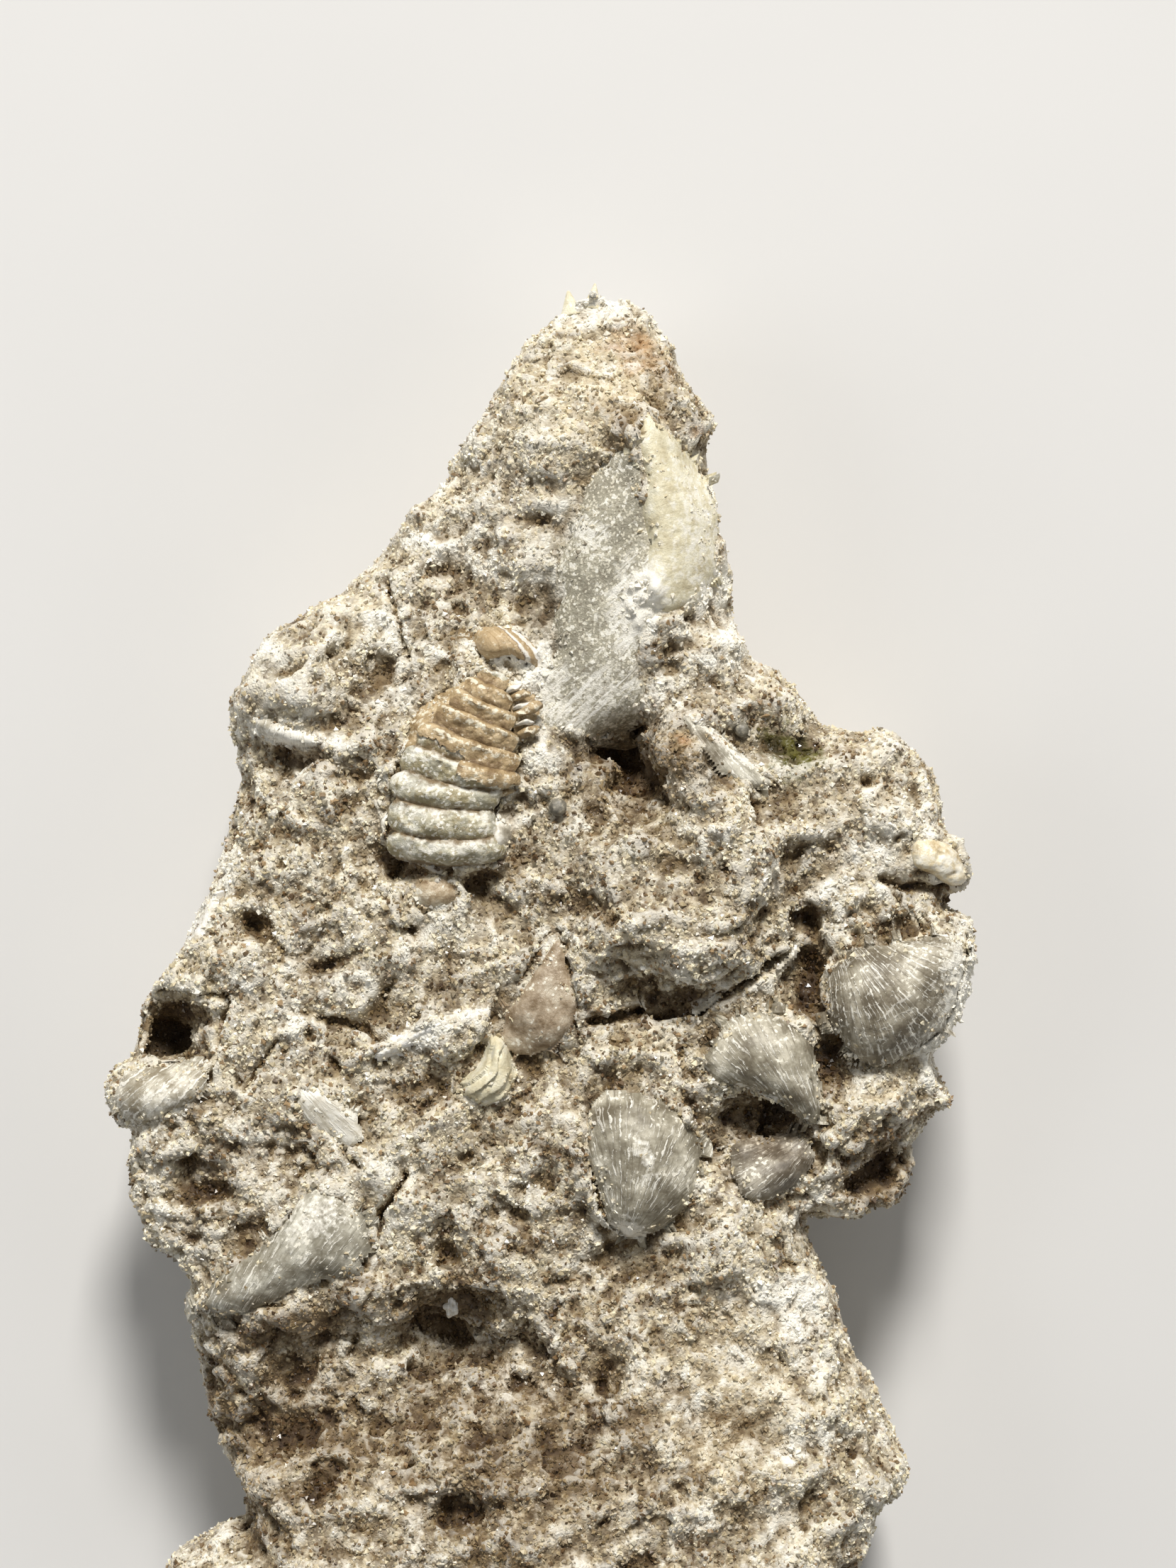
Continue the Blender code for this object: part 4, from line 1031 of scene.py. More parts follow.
HEAD_OUTLINE = [
    (-3.1, 17.95), (-3.12, 17.45), (-2.75, 16.95), (-2.5, 16.6), (-2.1, 16.72), (-1.6, 16.85), (-1.3, 16.95),
    (-0.9, 16.7), (-0.3, 16.3), (0.55, 16.15), (0.55, 16.9), (0.25, 17.65), (-0.25, 18.2), (-1.0, 18.5),
    (-1.9, 18.5), (-2.5, 18.4), (-2.95, 18.2),
]
HEAD_START = (-3.1, 17.9)  # the growth lines start here and spread to the right
HEAD_TURN = -30  # degrees, the way they spread
HEAD_LENGTH = 3.5
HEAD_WIDTH = 1.2
# Growth lines, from the start of the head (0) to its rim (about 1.1): where, and height of the step in mm.
HEAD_STEPS = [
    (0.42, -0.02), (0.56, -0.02), (0.68, -0.02), (0.79, -0.06), (0.87, -0.03), (1.0, -0.04), (1.12, -0.08),
]


def head_growth(places):
    """How far along its growth each place of the head is."""
    turn = math.radians(HEAD_TURN)
    dx, dy = places[:, 0] - HEAD_START[0], places[:, 1] - HEAD_START[1]
    along = dx * math.cos(turn) + dy * math.sin(turn)
    across = dy * math.cos(turn) - dx * math.sin(turn)
    return np.hypot(along / HEAD_LENGTH, across / HEAD_WIDTH)


def banded_caramel():
    """Caramel shell with fine growth lines, and white and brown rims at its right end."""
    shell = Finish("banded caramel shell", 0.4)
    cloud = shell.cloud(0.5, 4.0, 0.65)
    growth = shell.swayed(shell.attribute("growth"), cloud, -0.035, 0.035, 0.2)
    caramel = (0.54, 0.40, 0.225)
    line = (0.36, 0.24, 0.11)
    under = (0.42, 0.30, 0.16)
    white = (0.93, 0.90, 0.82)
    colour = shell.ramp(
        growth,
        (0.0, (0.46, 0.335, 0.18)),
        (0.40, caramel), (0.42, line), (0.44, caramel),
        (0.54, caramel), (0.56, (0.70, 0.56, 0.36)), (0.58, caramel),
        (0.66, caramel), (0.68, line), (0.70, caramel),
        (0.77, caramel), (0.79, (0.20, 0.12, 0.06)), (0.82, white), (0.86, white),
        (0.885, (0.50, 0.37, 0.21)), (0.985, under),
    )
    rim = shell.ramp(growth, (0.0, under), (0.99, under), (1.0, white))
    colour = shell.laid(colour, rim, growth, 0.98, 1.0)
    colour = shell.laid(colour, (0.45, 0.33, 0.18), growth, 1.10, 1.12)
    colour = shell.laid(colour, (0.84, 0.75, 0.56), shell.crystals(0.1), 0.74, 0.84, 0.5)
    colour = shell.laid(colour, (0.34, 0.235, 0.12), cloud, 0.44, 0.34, 0.6)
    return shell.use(colour, shell.raised(shell.cloud(0.16, 4.0, 0.7), 0.09, 0.8))


head = sheet("head_cap", HEAD_OUTLINE, 0.28, 0.7, smoothing=14, cell=0.045, overlap=0.05)
places = points_of(head.data)
growth = head_growth(places)
save_attribute(head.data, "growth", growth)
for start, step in HEAD_STEPS:
    places[:, 2] += step * np.clip((growth - start) / 0.03, 0, 1)
places[:, 2] += 0.05 * per_point(places * 2.2, noise.noise)
put_points(head.data, places)
head.data.materials.append(banded_caramel())
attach(head, "root")
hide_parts("trilobite_head")

# The ends of the rings on the right
#
# Short broken ribs, brown and white, that fan out from the right ends of the first rings where the
# trilobite's other side goes down into the rock. All are one ball, drawn out and worn each in its own way.

# Inner end, outer end of each short rib in mm, half width, finish.
SIDE_RIBS = [
    ((-1.5, 15.25), (-0.9, 15.5), 0.16, "white"),
    ((-1.3, 14.95), (-0.45, 15.15), 0.20, "brown"),
    ((-1.1, 14.5), (-0.4, 14.7), 0.15, "white"),
    ((-1.1, 14.2), (0.1, 14.6), 0.26, "brown"),
    ((-0.95, 13.75), (-0.3, 13.85), 0.14, "white"),
    ((-0.9, 13.35), (-0.05, 13.5), 0.19, "brown"),
]
RIB_HALF_HEIGHT = 0.3

for number, ((inner_x, inner_y), (outer_x, outer_y), half_width, finish) in enumerate(SIDE_RIBS, 1):
    add = bpy.ops.mesh.primitive_uv_sphere_add
    piece = new_piece(f"side_rib_{number}", add, segments=32, ring_count=24, radius=1)
    ball = points_of(piece.data) * MM
    along = Vector((outer_x - inner_x, outer_y - inner_y))
    turn = math.atan2(along.y, along.x)
    middle_x, middle_y = (inner_x + outer_x) / 2, (inner_y + outer_y) / 2
    ground = max(height_at(packed_skin, middle_x, middle_y), thorax_bed() @ (1, middle_x, middle_y))
    u, v, w = (ball * (along.length / 2 + 0.1, half_width, RIB_HALF_HEIGHT)).T
    worn = 0.16 * per_point(np.column_stack((u, v, w)) * 2.2 + number * 3.1, noise.noise)
    x = middle_x + u * math.cos(turn) - v * math.sin(turn) + worn
    y = middle_y + u * math.sin(turn) + v * math.cos(turn) + worn
    put_points(piece.data, np.column_stack((x, y, ground + 0.02 + w - 0.12 * u + worn)))
    bpy.ops.object.shade_smooth()
    # For the brown ribs, the top of each gets the finish's painted highlight and its lower half the painted
    # shade.
    save_attribute(piece.data, "crest", np.clip(0.5 + 0.5 * ball[:, 2], 0, 1))
    piece.data.materials.append(flake_finishes[finish])
    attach(piece, "root")

# The round grains
#
# Two smooth, dark grains of older rock that sit in the face right of the thorax and beyond the deep cavity,
# and a ragged white bit of shell in the foot's hollow. They are one ball, worn more or less.

# Place in mm, half widths in mm, how ragged, finish.
ROUND_GRAINS = [
    ((0.85, 9.9), (0.42, 0.42, 0.42), 0.1, "dark"),
    ((9.4, 13.5), (0.34, 0.34, 0.34), 0.1, "dark"),
    ((-4.1, -13.4), (0.30, 0.52, 0.35), 0.7, "white"),
]


DARK_GREY = ((0.40, (0.13, 0.12, 0.095)), (0.58, (0.27, 0.25, 0.20)), (0.70, (0.55, 0.50, 0.38)))


def dark_grain_stone():
    """Fine dark grey rock with a dusting of cream."""
    stone = Finish("dark grey grain", 0.5)
    cloud = stone.cloud(0.25, 4.0, 0.6)
    return stone.use(stone.ramp(cloud, *DARK_GREY), stone.raised(cloud, 0.05, 0.6))


grain_finishes = {"dark": dark_grain_stone(), "white": flake_finishes["white"]}
rock_skin = tree_of([rock])
for number, ((x0, y0), half_widths, ragged, finish) in enumerate(ROUND_GRAINS, 1):
    add = bpy.ops.mesh.primitive_ico_sphere_add
    piece = new_piece(f"round_grain_{number}", add, subdivisions=4, radius=1)
    ball = points_of(piece.data) * MM
    ball *= (1 + ragged * per_point(ball * 1.6 + number, noise.noise))[:, None]
    put_points(piece.data, ball * half_widths + (x0, y0, height_at(rock_skin, x0, y0) + 0.05))
    bpy.ops.object.shade_smooth()
    piece.data.materials.append(grain_finishes[finish])
    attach(piece, "root")

# The brachiopods and the other shells
#
# Valves and broken pieces of shell in the rock's face, of grey, cream and brown calcite with fine lines that
# fan out from the beak. The thin ones follow the face. The thick honey-coloured crystal at the right edge is
# a fine, smooth copy of its solid.

CRYSTAL_BEAK = (18.0, 12.0)
CRYSTAL_VOXEL = 0.085
CRYSTAL_SINK = 0.1
CRYSTAL_WALL = 1.3  # what of its solid is kept below its rim, in mm

# The thin shells, flush with the rock's face. Node: beak in mm, finish, how far it stands above the face,
# outline in mm.
THIN_SHELLS = {
    "brachiopod_right": ((13.4, 4.9), "netted grey shell", 0.14, [
        (13.2, 1.4), (13.5, 2.4), (14.3, 3.3), (15.8, 3.5), (17.5, 3.8), (19.0, 4.0), (19.7, 3.4),
        (19.8, 2.4), (19.5, 1.1), (18.8, -0.5), (17.6, -1.5), (15.8, -2.3), (14.9, -1.9), (13.9, -0.9),
        (13.4, 0.1),
    ]),
    "brachiopod_fan": ((13.6, -6.6), "ribbed grey shell", 0.16, [
        (7.5, -1.9), (8.0, -0.9), (8.8, 0.1), (10.2, 0.5), (11.6, 0.1), (12.5, -0.8), (13.0, -2.2),
        (13.1, -4.0), (12.8, -4.9), (11.8, -4.4), (10.6, -3.6), (9.3, -3.0), (8.2, -3.0),
    ]),
    "brachiopod_fan_base": ((13.6, -4.6), "ribbed dark shell", 0.1, [
        (8.8, -5.8), (10.0, -5.4), (11.2, -5.3), (12.4, -5.5), (12.9, -6.3), (12.2, -7.4), (10.8, -8.4),
        (9.6, -8.3), (8.9, -7.2),
    ]),
    "brachiopod_oval": ((3.8, -10.6), "ribbed grey shell", 0.14, [
        (2.2, -4.2), (3.1, -3.2), (4.4, -3.2), (5.7, -3.7), (6.9, -4.5), (7.5, -5.9), (7.3, -7.7),
        (6.4, -9.1), (5.3, -9.9), (4.1, -10.1), (3.0, -9.3), (2.8, -7.7), (2.2, -6.2),
    ]),
    "shell_white_rim": ((-11.4, 18.0), "ribbed white shell", 0.16, [
        (-13.4, 14.1), (-12.6, 14.0), (-11.6, 13.6), (-10.6, 13.3), (-9.9, 12.9), (-10.6, 12.5),
        (-11.8, 12.7), (-12.8, 13.1), (-13.3, 13.5),
    ]),
    "shell_edge_plate": ((4.0, 18.0), "ribbed pale shell", 0.22, [
        (6.1, 14.7), (7.1, 14.2), (8.3, 13.3), (9.5, 12.3), (10.9, 11.0), (10.2, 10.7), (9.2, 11.0),
        (8.4, 11.5), (7.8, 12.4), (7.1, 13.0), (6.4, 13.9),
    ]),
    "shell_small_fan": ((-4.1, -1.0), "cream shell", 0.3, [
        (-2.1, -0.4), (-1.4, -1.2), (-0.9, -2.6), (-1.4, -3.7), (-2.6, -4.0), (-3.7, -3.4), (-3.8, -2.7),
        (-3.1, -2.2), (-2.7, -1.6), (-2.5, -0.8),
    ]),
    "shell_white_shard": ((-12.5, -1.5), "ribbed white shell", 0.06, [
        (-11.3, -2.7), (-10.3, -2.9), (-9.4, -3.5), (-8.5, -4.3), (-8.0, -5.4), (-8.8, -5.9),
        (-9.6, -5.3), (-10.2, -5.2), (-10.9, -4.7), (-11.4, -3.8),
    ]),
    "trilobite_tail": ((-5.0, 9.0), "clear brown shell", 0.18, [
        (-5.8, 6.6), (-5.2, 6.9), (-4.3, 6.8), (-3.8, 6.4), (-3.6, 5.8), (-4.2, 5.3), (-5.0, 5.2),
        (-5.6, 5.5), (-5.9, 6.0),
    ]),
    "shell_grey_valve": ((2.4, 32.0), "speckled grey valve", 0.07, [
        (2.5, 25.4), (3.3, 26.3), (4.3, 26.7), (4.8, 25.4), (4.9, 23.8), (5.2, 22.0), (5.4, 20.6),
        (5.0, 19.2), (5.1, 18.0), (4.6, 16.8), (5.0, 15.4), (4.8, 14.1), (4.1, 13.0), (2.7, 13.0),
        (1.3, 13.2), (0.1, 13.6), (-0.5, 14.8), (0.1, 16.2), (1.0, 17.3), (0.6, 18.6), (1.1, 19.8),
        (0.7, 21.0), (1.4, 22.3), (1.8, 23.2), (2.0, 24.4),
    ]),
    "shell_pale_flake": ((6.0, 34.0), "cream shell", 0.2, [
        (4.8, 29.0), (4.6, 27.6), (4.5, 26.4), (4.9, 25.2), (4.7, 23.5), (5.0, 22.1), (4.8, 20.9),
        (4.8, 19.3), (6.0, 18.8), (7.4, 19.4), (8.4, 21.0), (8.4, 23.5), (7.8, 25.2), (6.8, 26.5),
        (5.6, 27.8),
    ]),
    "shell_crescent": ((-22.0, -26.0), "ribbed pale shell", 0.25, [
        (-16.2, -13.7), (-15.4, -12.2), (-14.2, -11.2), (-13.0, -10.5), (-12.0, -9.5), (-11.2, -8.2),
        (-10.4, -7.6), (-9.2, -8.2), (-8.1, -9.0), (-7.8, -10.4), (-8.2, -11.8), (-10.0, -12.0),
        (-11.5, -12.6), (-13.0, -13.3), (-14.6, -13.8),
    ]),
    "shell_fluted": ((-10.0, 4.0), "streaked white shell", 0.14, [
        (-19.4, -2.4), (-18.2, -2.2), (-17.0, -1.9), (-15.6, -1.7), (-15.2, -2.6), (-15.8, -3.6),
        (-17.0, -4.2), (-18.4, -4.9), (-19.4, -4.6), (-19.9, -3.6),
    ]),
    "shell_brown_spall": ((0.6, 9.0), "brown shell spall", 0.16, [
        (0.9, 4.4), (1.25, 3.2), (1.5, 2.0), (1.9, 0.8), (1.5, -0.4), (0.6, -1.2), (-0.4, -1.7),
        (-1.2, -1.6), (-1.9, -0.8), (-1.7, 0.2), (-1.0, 1.2), (-0.3, 2.2), (0.4, 3.4),
    ]),
}
THIN_SHELL_THICKNESS = 0.6
THIN_SHELL_SMOOTHING = 190
THIN_SHELL_CELL = 0.1
THIN_SHELL_WEAR = 0.3
SHELL_CROWNS = {"brachiopod_right": 0.6, "brachiopod_oval": 0.3, "brachiopod_fan": 0.3}  # extra doming in mm
# Raised growth ridges round the beak: spacing and height in mm.
GROWTH_RIDGES = {"shell_small_fan": (0.5, 0.22), "brachiopod_right": (0.62, 0.02)}


def crystal_from_node(node):
    """A fine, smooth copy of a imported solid, cut off a little way down in its seat."""
    piece = copy_of_node(node, node + "_dressed")
    low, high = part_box(node)
    places = points_of(piece.data)
    upper = places[places[:, 2] > low.z / MM + 0.05]
    floor = max(low.z / MM, upper[:, 2].min() - CRYSTAL_WALL) * MM + 0.00001
    with editing(piece):
        bpy.ops.mesh.bisect(plane_co=(0, 0, floor), plane_no=(0, 0, 1), use_fill=True, clear_inner=True)
    finish_with(piece, "REMESH", mode="VOXEL", voxel_size=CRYSTAL_VOXEL * MM, use_smooth_shade=True)
    finish_with(piece, "SMOOTH", factor=0.5, iterations=12)
    return piece


def wear_shell(piece, beak, wear, sink, ridges):
    """Sinks a shell into the rock, wears its face, and maps the lines that fan out from its beak."""
    places = points_of(piece.data)
    out = normals_of(piece.data)
    from_beak = places[:, :2] - beak
    radius = np.hypot(from_beak[:, 0], from_beak[:, 1])
    angle = np.arctan2(from_beak[:, 1], from_beak[:, 0])
    facing = np.clip(out[:, 2] * 2 - 0.3, 0, 1)
    growth = per_point(np.column_stack((radius * 1.6, angle * 2, radius * 0)), noise.noise)
    dents = per_point(places * 0.7, noise.noise)
    chips = np.clip(per_point(places * 2.4 + 5.0, noise.noise) - 0.28, 0, 1)
    worn = per_point(places * 4.5 + 9.0, noise.noise)
    rise = (0.05 * growth + 0.10 * dents + 0.04 * worn - 0.35 * chips) * facing * wear
    spacing, height = ridges
    rise += height * ((radius + 0.3 * growth) / spacing % 1.0 - 0.5) * facing
    crust = np.clip(stretch_cover(places, BLEACHED) * 2 - 1.0, 0, 1)
    rise += 0.35 * crust * np.clip(per_point(places * 1.9 + 70.0, noise.noise) + 0.15, 0, 1) * facing
    moved = places + out * rise[:, None]
    moved[:, 2] = np.maximum(moved[:, 2] - sink, places[:, 2].min())
    put_points(piece.data, moved)
    save_attribute(piece.data, "fan_across", angle * radius.mean())
    save_attribute(piece.data, "fan_along", radius)
    save_attribute(piece.data, "relief", standing_out(piece.data, 8))
    save_attribute(piece.data, "bleached", stretch_cover(places, BLEACHED))
    save_attribute(piece.data, "browned", stretch_cover(places, BROWN_STAINS_AND_PAINTED_SHADE))


def fine_lines(shell, direction, spacing, wander, share):
    """Thin, uneven lines across one direction of the fan, a share of them left: 1 on a line, 0 beside it."""
    sway = shell.times(shell.cloud(0.9, 3.0, 0.6), wander)
    phase = shell.sum_of(shell.times(shell.attribute(direction), 2 * math.pi / spacing), sway)
    wave = shell.sum_of(phase, 0.0, "SINE")
    kept = shell.between(shell.cloud(0.7, 4.0, 0.7), 0.35, 0.65, share - 1.0, share - 0.2)
    return shell.between(shell.sum_of(wave, kept), 0.72, 0.98)


def fan_cloud(shell, across, along, detail=2.0):
    """Noise drawn out along the ribs: across and along are its patch sizes in mm."""
    x = shell.times(shell.attribute("fan_across"), 1 / across)
    y = shell.times(shell.attribute("fan_along"), 1 / along)
    place = shell.node("ShaderNodeCombineXYZ", {"X": x, "Y": y}).outputs["Vector"]
    return shell.cloud(1.0, detail, 0.6, place)


def shell_crust_stains_and_painted_shade(shell, colour, cloud, dark):
    """Crust and stains that all the shells share, and painted shade in their hollows."""
    crust = shell.swayed(shell.crystals(0.13), cloud, -0.4, 0.08)
    colour = shell.laid(colour, (0.92, 0.88, 0.75), crust, 0.72, 0.8, 0.9)
    bleach = shell.swayed(shell.attribute("bleached"), shell.cloud(0.35, 4.0), -0.4, 0.3)
    colour = shell.laid(colour, CALCITE_WHITE, bleach, 0.25, 0.8)
    # Brown stains, partly painted shade where the shaded stretches reach the shells.
    brown = shell.swayed(shell.attribute("browned"), cloud, 0.15, -0.25)
    colour = shell.laid(colour, shell.tinted(colour, (0.42, 0.31, 0.20)), brown, 0.15, 0.8)
    # Painted shade: the shell's hollows are darkened towards the dark colour given.
    return shell.laid(colour, dark, shell.attribute("relief"), -0.03, -0.15)


def ribbed_shell(name, dark, middle, pale, whiteness, net=0.0):
    """Shell calcite with fine white lines along its ribs, white patches and maybe a net of growth lines."""
    shell = Finish(name, 0.36, 0.3)
    cloud = shell.cloud(1.5, 4.0, 0.65)
    colour = shell.ramp(cloud, (0.38, dark), (0.5, middle), (0.62, pale))
    colour = shell.laid(colour, dark, fan_cloud(shell, 0.16, 1.5), 0.48, 0.36, 0.7)
    lines = fine_lines(shell, "fan_across", 0.34, 9.0, 0.42 + 3 * whiteness)
    lines = shell.times(lines, shell.between(fan_cloud(shell, 0.3, 4.0, 1.0), 0.40, 0.50))
    hair_lines = fine_lines(shell, "fan_across", 0.19, 7.0, 0.4)
    lines = shell.sum_of(lines, shell.times(hair_lines, 0.55), "MAXIMUM")
    if net:
        rings = fine_lines(shell, "fan_along", 0.55, 12.0, 0.36)
        lines = shell.sum_of(lines, shell.times(rings, net), "MAXIMUM")
    colour = shell.mix(shell.times(lines, 0.85), colour, CALCITE_WHITE)
    patches = shell.swayed(shell.cloud(0.5, 4.0, 0.7), cloud, -0.06, 0.05)
    colour = shell.laid(colour, (0.86, 0.82, 0.71), patches, 0.68 - whiteness, 0.72 - whiteness)
    # The last colour is the painted shade of the shell's hollows.
    colour = shell_crust_stains_and_painted_shade(shell, colour, cloud, (0.16, 0.12, 0.075))
    normal = shell.raised(lines, 0.05, 0.6)
    normal = shell.raised(shell.cloud(0.2, 4.0, 0.7), 0.05, 0.5, normal)
    return shell.use(colour, normal, shell.between(cloud, 0.35, 0.65, 0.48, 0.36))


FEATHER_TURN = -0.75  # radians, the way the white feathers run over the valve's lower end


def speckled_grey(name):
    """The smooth grey valve, peppered with white grains of rock that still cling to it."""
    shell = Finish(name, 0.42)
    cloud = shell.cloud(1.5, 4.0, 0.6)
    colour = shell.ramp(cloud, (0.36, (0.275, 0.252, 0.188)), (0.62, (0.49, 0.455, 0.345)))
    grains = shell.swayed(shell.crystals(0.15), cloud, -0.2, 0.1)
    colour = shell.laid(colour, (0.92, 0.89, 0.78), grains, 0.66, 0.76)
    small = shell.crystals(0.09)
    colour = shell.laid(colour, (0.80, 0.75, 0.60), small, 0.7, 0.78, 0.8)
    colour = shell.laid(colour, (0.20, 0.165, 0.11), small, 0.24, 0.16, 0.6)
    turned = shell.node("ShaderNodeMapping", {"Vector": shell.place, "Rotation": (0, 0, FEATHER_TURN)})
    drawn_out = shell.scaled(turned.outputs["Vector"], 0.6, 4.5, 1.0)
    feathers = shell.between(shell.cloud(1.0, 3.0, 0.6, drawn_out, 0.6), 0.5, 0.58)
    feathers = shell.times(feathers, shell.between(shell.attribute("bleached"), 0.1, 0.35))
    colour = shell.mix(feathers, colour, (0.93, 0.905, 0.82))
    # The last colour is the painted shade of the valve's hollows.
    colour = shell_crust_stains_and_painted_shade(shell, colour, cloud, (0.22, 0.18, 0.12))
    normal = shell.raised(shell.cloud(0.16, 4.0, 0.75), 0.12, 0.8)
    return shell.use(colour, normal)


def plain_calcite(name, dark, middle, pale, roughness):
    """Clouded calcite with hairline cracks."""
    shell = Finish(name, roughness)
    cloud = shell.cloud(0.9, 4.0, 0.65)
    colour = shell.ramp(cloud, (0.36, dark), (0.5, middle), (0.64, pale))
    colour = shell.laid(colour, dark, shell.crystal_edges(0.8), 0.025, 0.0, 0.35)
    # The dark colour also serves as the painted shade of the hollows.
    colour = shell_crust_stains_and_painted_shade(shell, colour, cloud, dark)
    normal = shell.raised(shell.cloud(0.22, 4.0, 0.7), 0.09, 0.7)
    return shell.use(colour, normal, shell.between(cloud, 0.35, 0.65, roughness + 0.1, roughness - 0.08))


# Dark, middle and pale colour, how white the lines are, and how strong a net of growth lines crosses them.
RIBBED = {
    "ribbed grey shell": ((0.17, 0.145, 0.10), (0.34, 0.31, 0.235), (0.60, 0.56, 0.45), 0.02),
    "netted grey shell": ((0.15, 0.125, 0.085), (0.31, 0.275, 0.205), (0.52, 0.48, 0.38), 0.03, 0.5),
    "ribbed dark shell": ((0.12, 0.10, 0.07), (0.24, 0.21, 0.16), (0.46, 0.42, 0.34), -0.02),
    "ribbed pale shell": ((0.23, 0.21, 0.155), (0.37, 0.345, 0.275), (0.60, 0.575, 0.48), 0.02),
    "ribbed white shell": ((0.42, 0.38, 0.29), (0.68, 0.64, 0.54), (0.90, 0.88, 0.80), 0.07),
    "streaked white shell": ((0.26, 0.22, 0.15), (0.44, 0.40, 0.31), (0.72, 0.68, 0.57), 0.09),
}
# Dark, middle and pale colour, roughness.
CLOUDED = {
    "cream shell": ((0.57, 0.50, 0.325), (0.745, 0.685, 0.485), (0.87, 0.83, 0.66), 0.42),
    "brown shell spall": ((0.21, 0.145, 0.08), (0.43, 0.34, 0.235), (0.64, 0.56, 0.43), 0.32),
    "clear brown shell": ((0.22, 0.145, 0.075), (0.46, 0.36, 0.23), (0.74, 0.66, 0.5), 0.3),
    "honey calcite": ((0.50, 0.38, 0.20), (0.78, 0.68, 0.47), (0.93, 0.90, 0.78), 0.25),
}
shell_finishes = {"speckled grey valve": speckled_grey("speckled grey valve")}
for name, look in RIBBED.items():
    shell_finishes[name] = ribbed_shell(name, *look)
for name, look in CLOUDED.items():
    shell_finishes[name] = plain_calcite(name, *look)


def dress_shell(piece, node, beak, finish, wear, sink):
    """Wears a shell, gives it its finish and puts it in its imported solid's place."""
    wear_shell(piece, beak, wear, sink, GROWTH_RIDGES.get(node, (1.0, 0.0)))
    piece.data.materials.append(shell_finishes[finish])
    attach(piece, "root")
    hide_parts(node)


crystal = crystal_from_node("calcite_crystal")
dress_shell(crystal, "calcite_crystal", CRYSTAL_BEAK, "honey calcite", 1.0, CRYSTAL_SINK)
for node, (beak, finish, lift, outline) in THIN_SHELLS.items():
    fine = node == "shell_small_fan"
    smoothing, cell = (60, THIN_SHELL_CELL / 2) if fine else (THIN_SHELL_SMOOTHING, THIN_SHELL_CELL)
    crown = SHELL_CROWNS.get(node, 0.0)
    piece = sheet(node + "_dressed", outline, lift, THIN_SHELL_THICKNESS, smoothing, cell, crown=crown)
    dress_shell(piece, node, beak, finish, THIN_SHELL_WEAR, 0.0)
    crusted.append((piece, outline))

# The spires at the tip
#
# Two slender calcite crystals that stand out at the very tip of the peak. Both are one blunt nine-sided
# cone, each laid down from its own foot with its own wear.

# Foot in mm, length and radius in mm, turn in degrees.
SPIRES = [((1.5, 33.1), 1.15, 0.5, 8), ((2.45, 33.4), 1.2, 0.46, -6)]

for number, ((foot_x, foot_y), length, radius, turn) in enumerate(SPIRES, 1):
    shape = {"vertices": 9, "radius1": 1, "radius2": 0.15, "depth": 1, "location": (0, 0, 0.5)}
    piece = new_piece(f"tip_spire_{number}", bpy.ops.mesh.primitive_cone_add, **shape)
    bpy.ops.object.transform_apply(location=True)
    finish_with(piece, "BEVEL", width=0.08, segments=2)
    cone = points_of(piece.data) * MM
    angle = math.radians(turn)
    along, across, up = cone[:, 2] * length, cone[:, 0] * radius, cone[:, 1] * radius * 0.7
    x = foot_x + across * math.cos(angle) - along * math.sin(angle)
    y = foot_y + across * math.sin(angle) + along * math.cos(angle)
    bumps = 0.12 * per_point(np.column_stack((x, y, up)) * 2.5, noise.noise)
    put_points(piece.data, np.column_stack((x + bumps, y, height_at(rock_skin, foot_x, foot_y) - 0.25 + up)))
    bpy.ops.object.shade_smooth_by_angle(angle=math.radians(40))
    piece.data.materials.append(shell_finishes["cream shell"])
    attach(piece, "root")

# Crystal grains on the rock
#
# The sugar of small calcite crystals that covers the rock's face and the rims of its fossils: cream, white,
# grey and brown ones a sixth of a millimetre across. One eight-sided crystal is modelled and copied.

# Name: how many, radius in mm, darkest and palest colour, roughness, how far they keep off the pale
# stretches and the shells, how much they gather in the patches where the white ones are, seed.
GRAIN_KINDS = {
    "cream_grains_1": (22000, 0.095, (0.50, 0.42, 0.26), (0.92, 0.84, 0.62), 0.55, 0.0, 0.5, 11),
    "cream_grains_2": (20000, 0.085, (0.62, 0.53, 0.35), (0.94, 0.88, 0.68), 0.5, 0.0, 1.0, 15),
    "white_grains": (20000, 0.085, (0.76, 0.71, 0.56), (0.97, 0.95, 0.87), 0.3, 0.0, 3.0, 12),
    "grey_grains": (15000, 0.09, (0.22, 0.19, 0.13), (0.54, 0.49, 0.38), 0.25, 0.85, -1.0, 13),
    "brown_grains": (15000, 0.095, (0.11, 0.07, 0.035), (0.44, 0.31, 0.17), 0.4, 0.85, -3.0, 14),
}
GRAIN_SINK = 0.25  # share of its radius that a grain is sunk below the skin
GRAIN_FLOOR = 0.55  # no grains below this height in mm, so that the piece rests on its flat face alone
GRAIN_SPREAD = 0.42  # how much their sizes differ
LARGEST_GRAIN = 1.8  # times the usual radius


def crystal_shape():
    """One eight-sided crystal of radius one: a pyramid whose base is drawn out to a tip."""
    pyramid = {"vertices": 4, "radius1": 1, "depth": 1, "end_fill_type": "TRIFAN", "location": (0, 0, 0.5)}
    crystal = new_piece("crystal", bpy.ops.mesh.primitive_cone_add, **pyramid)
    bpy.ops.object.transform_apply(location=True)
    corners = points_of(crystal.data) * MM
    base_middle = np.argmin(np.abs(corners).sum(axis=1))
    corners[base_middle, 2] = -1
    faces = np.array([tuple(face.vertices) for face in crystal.data.polygons])
    bpy.data.objects.remove(crystal)
    return corners, faces


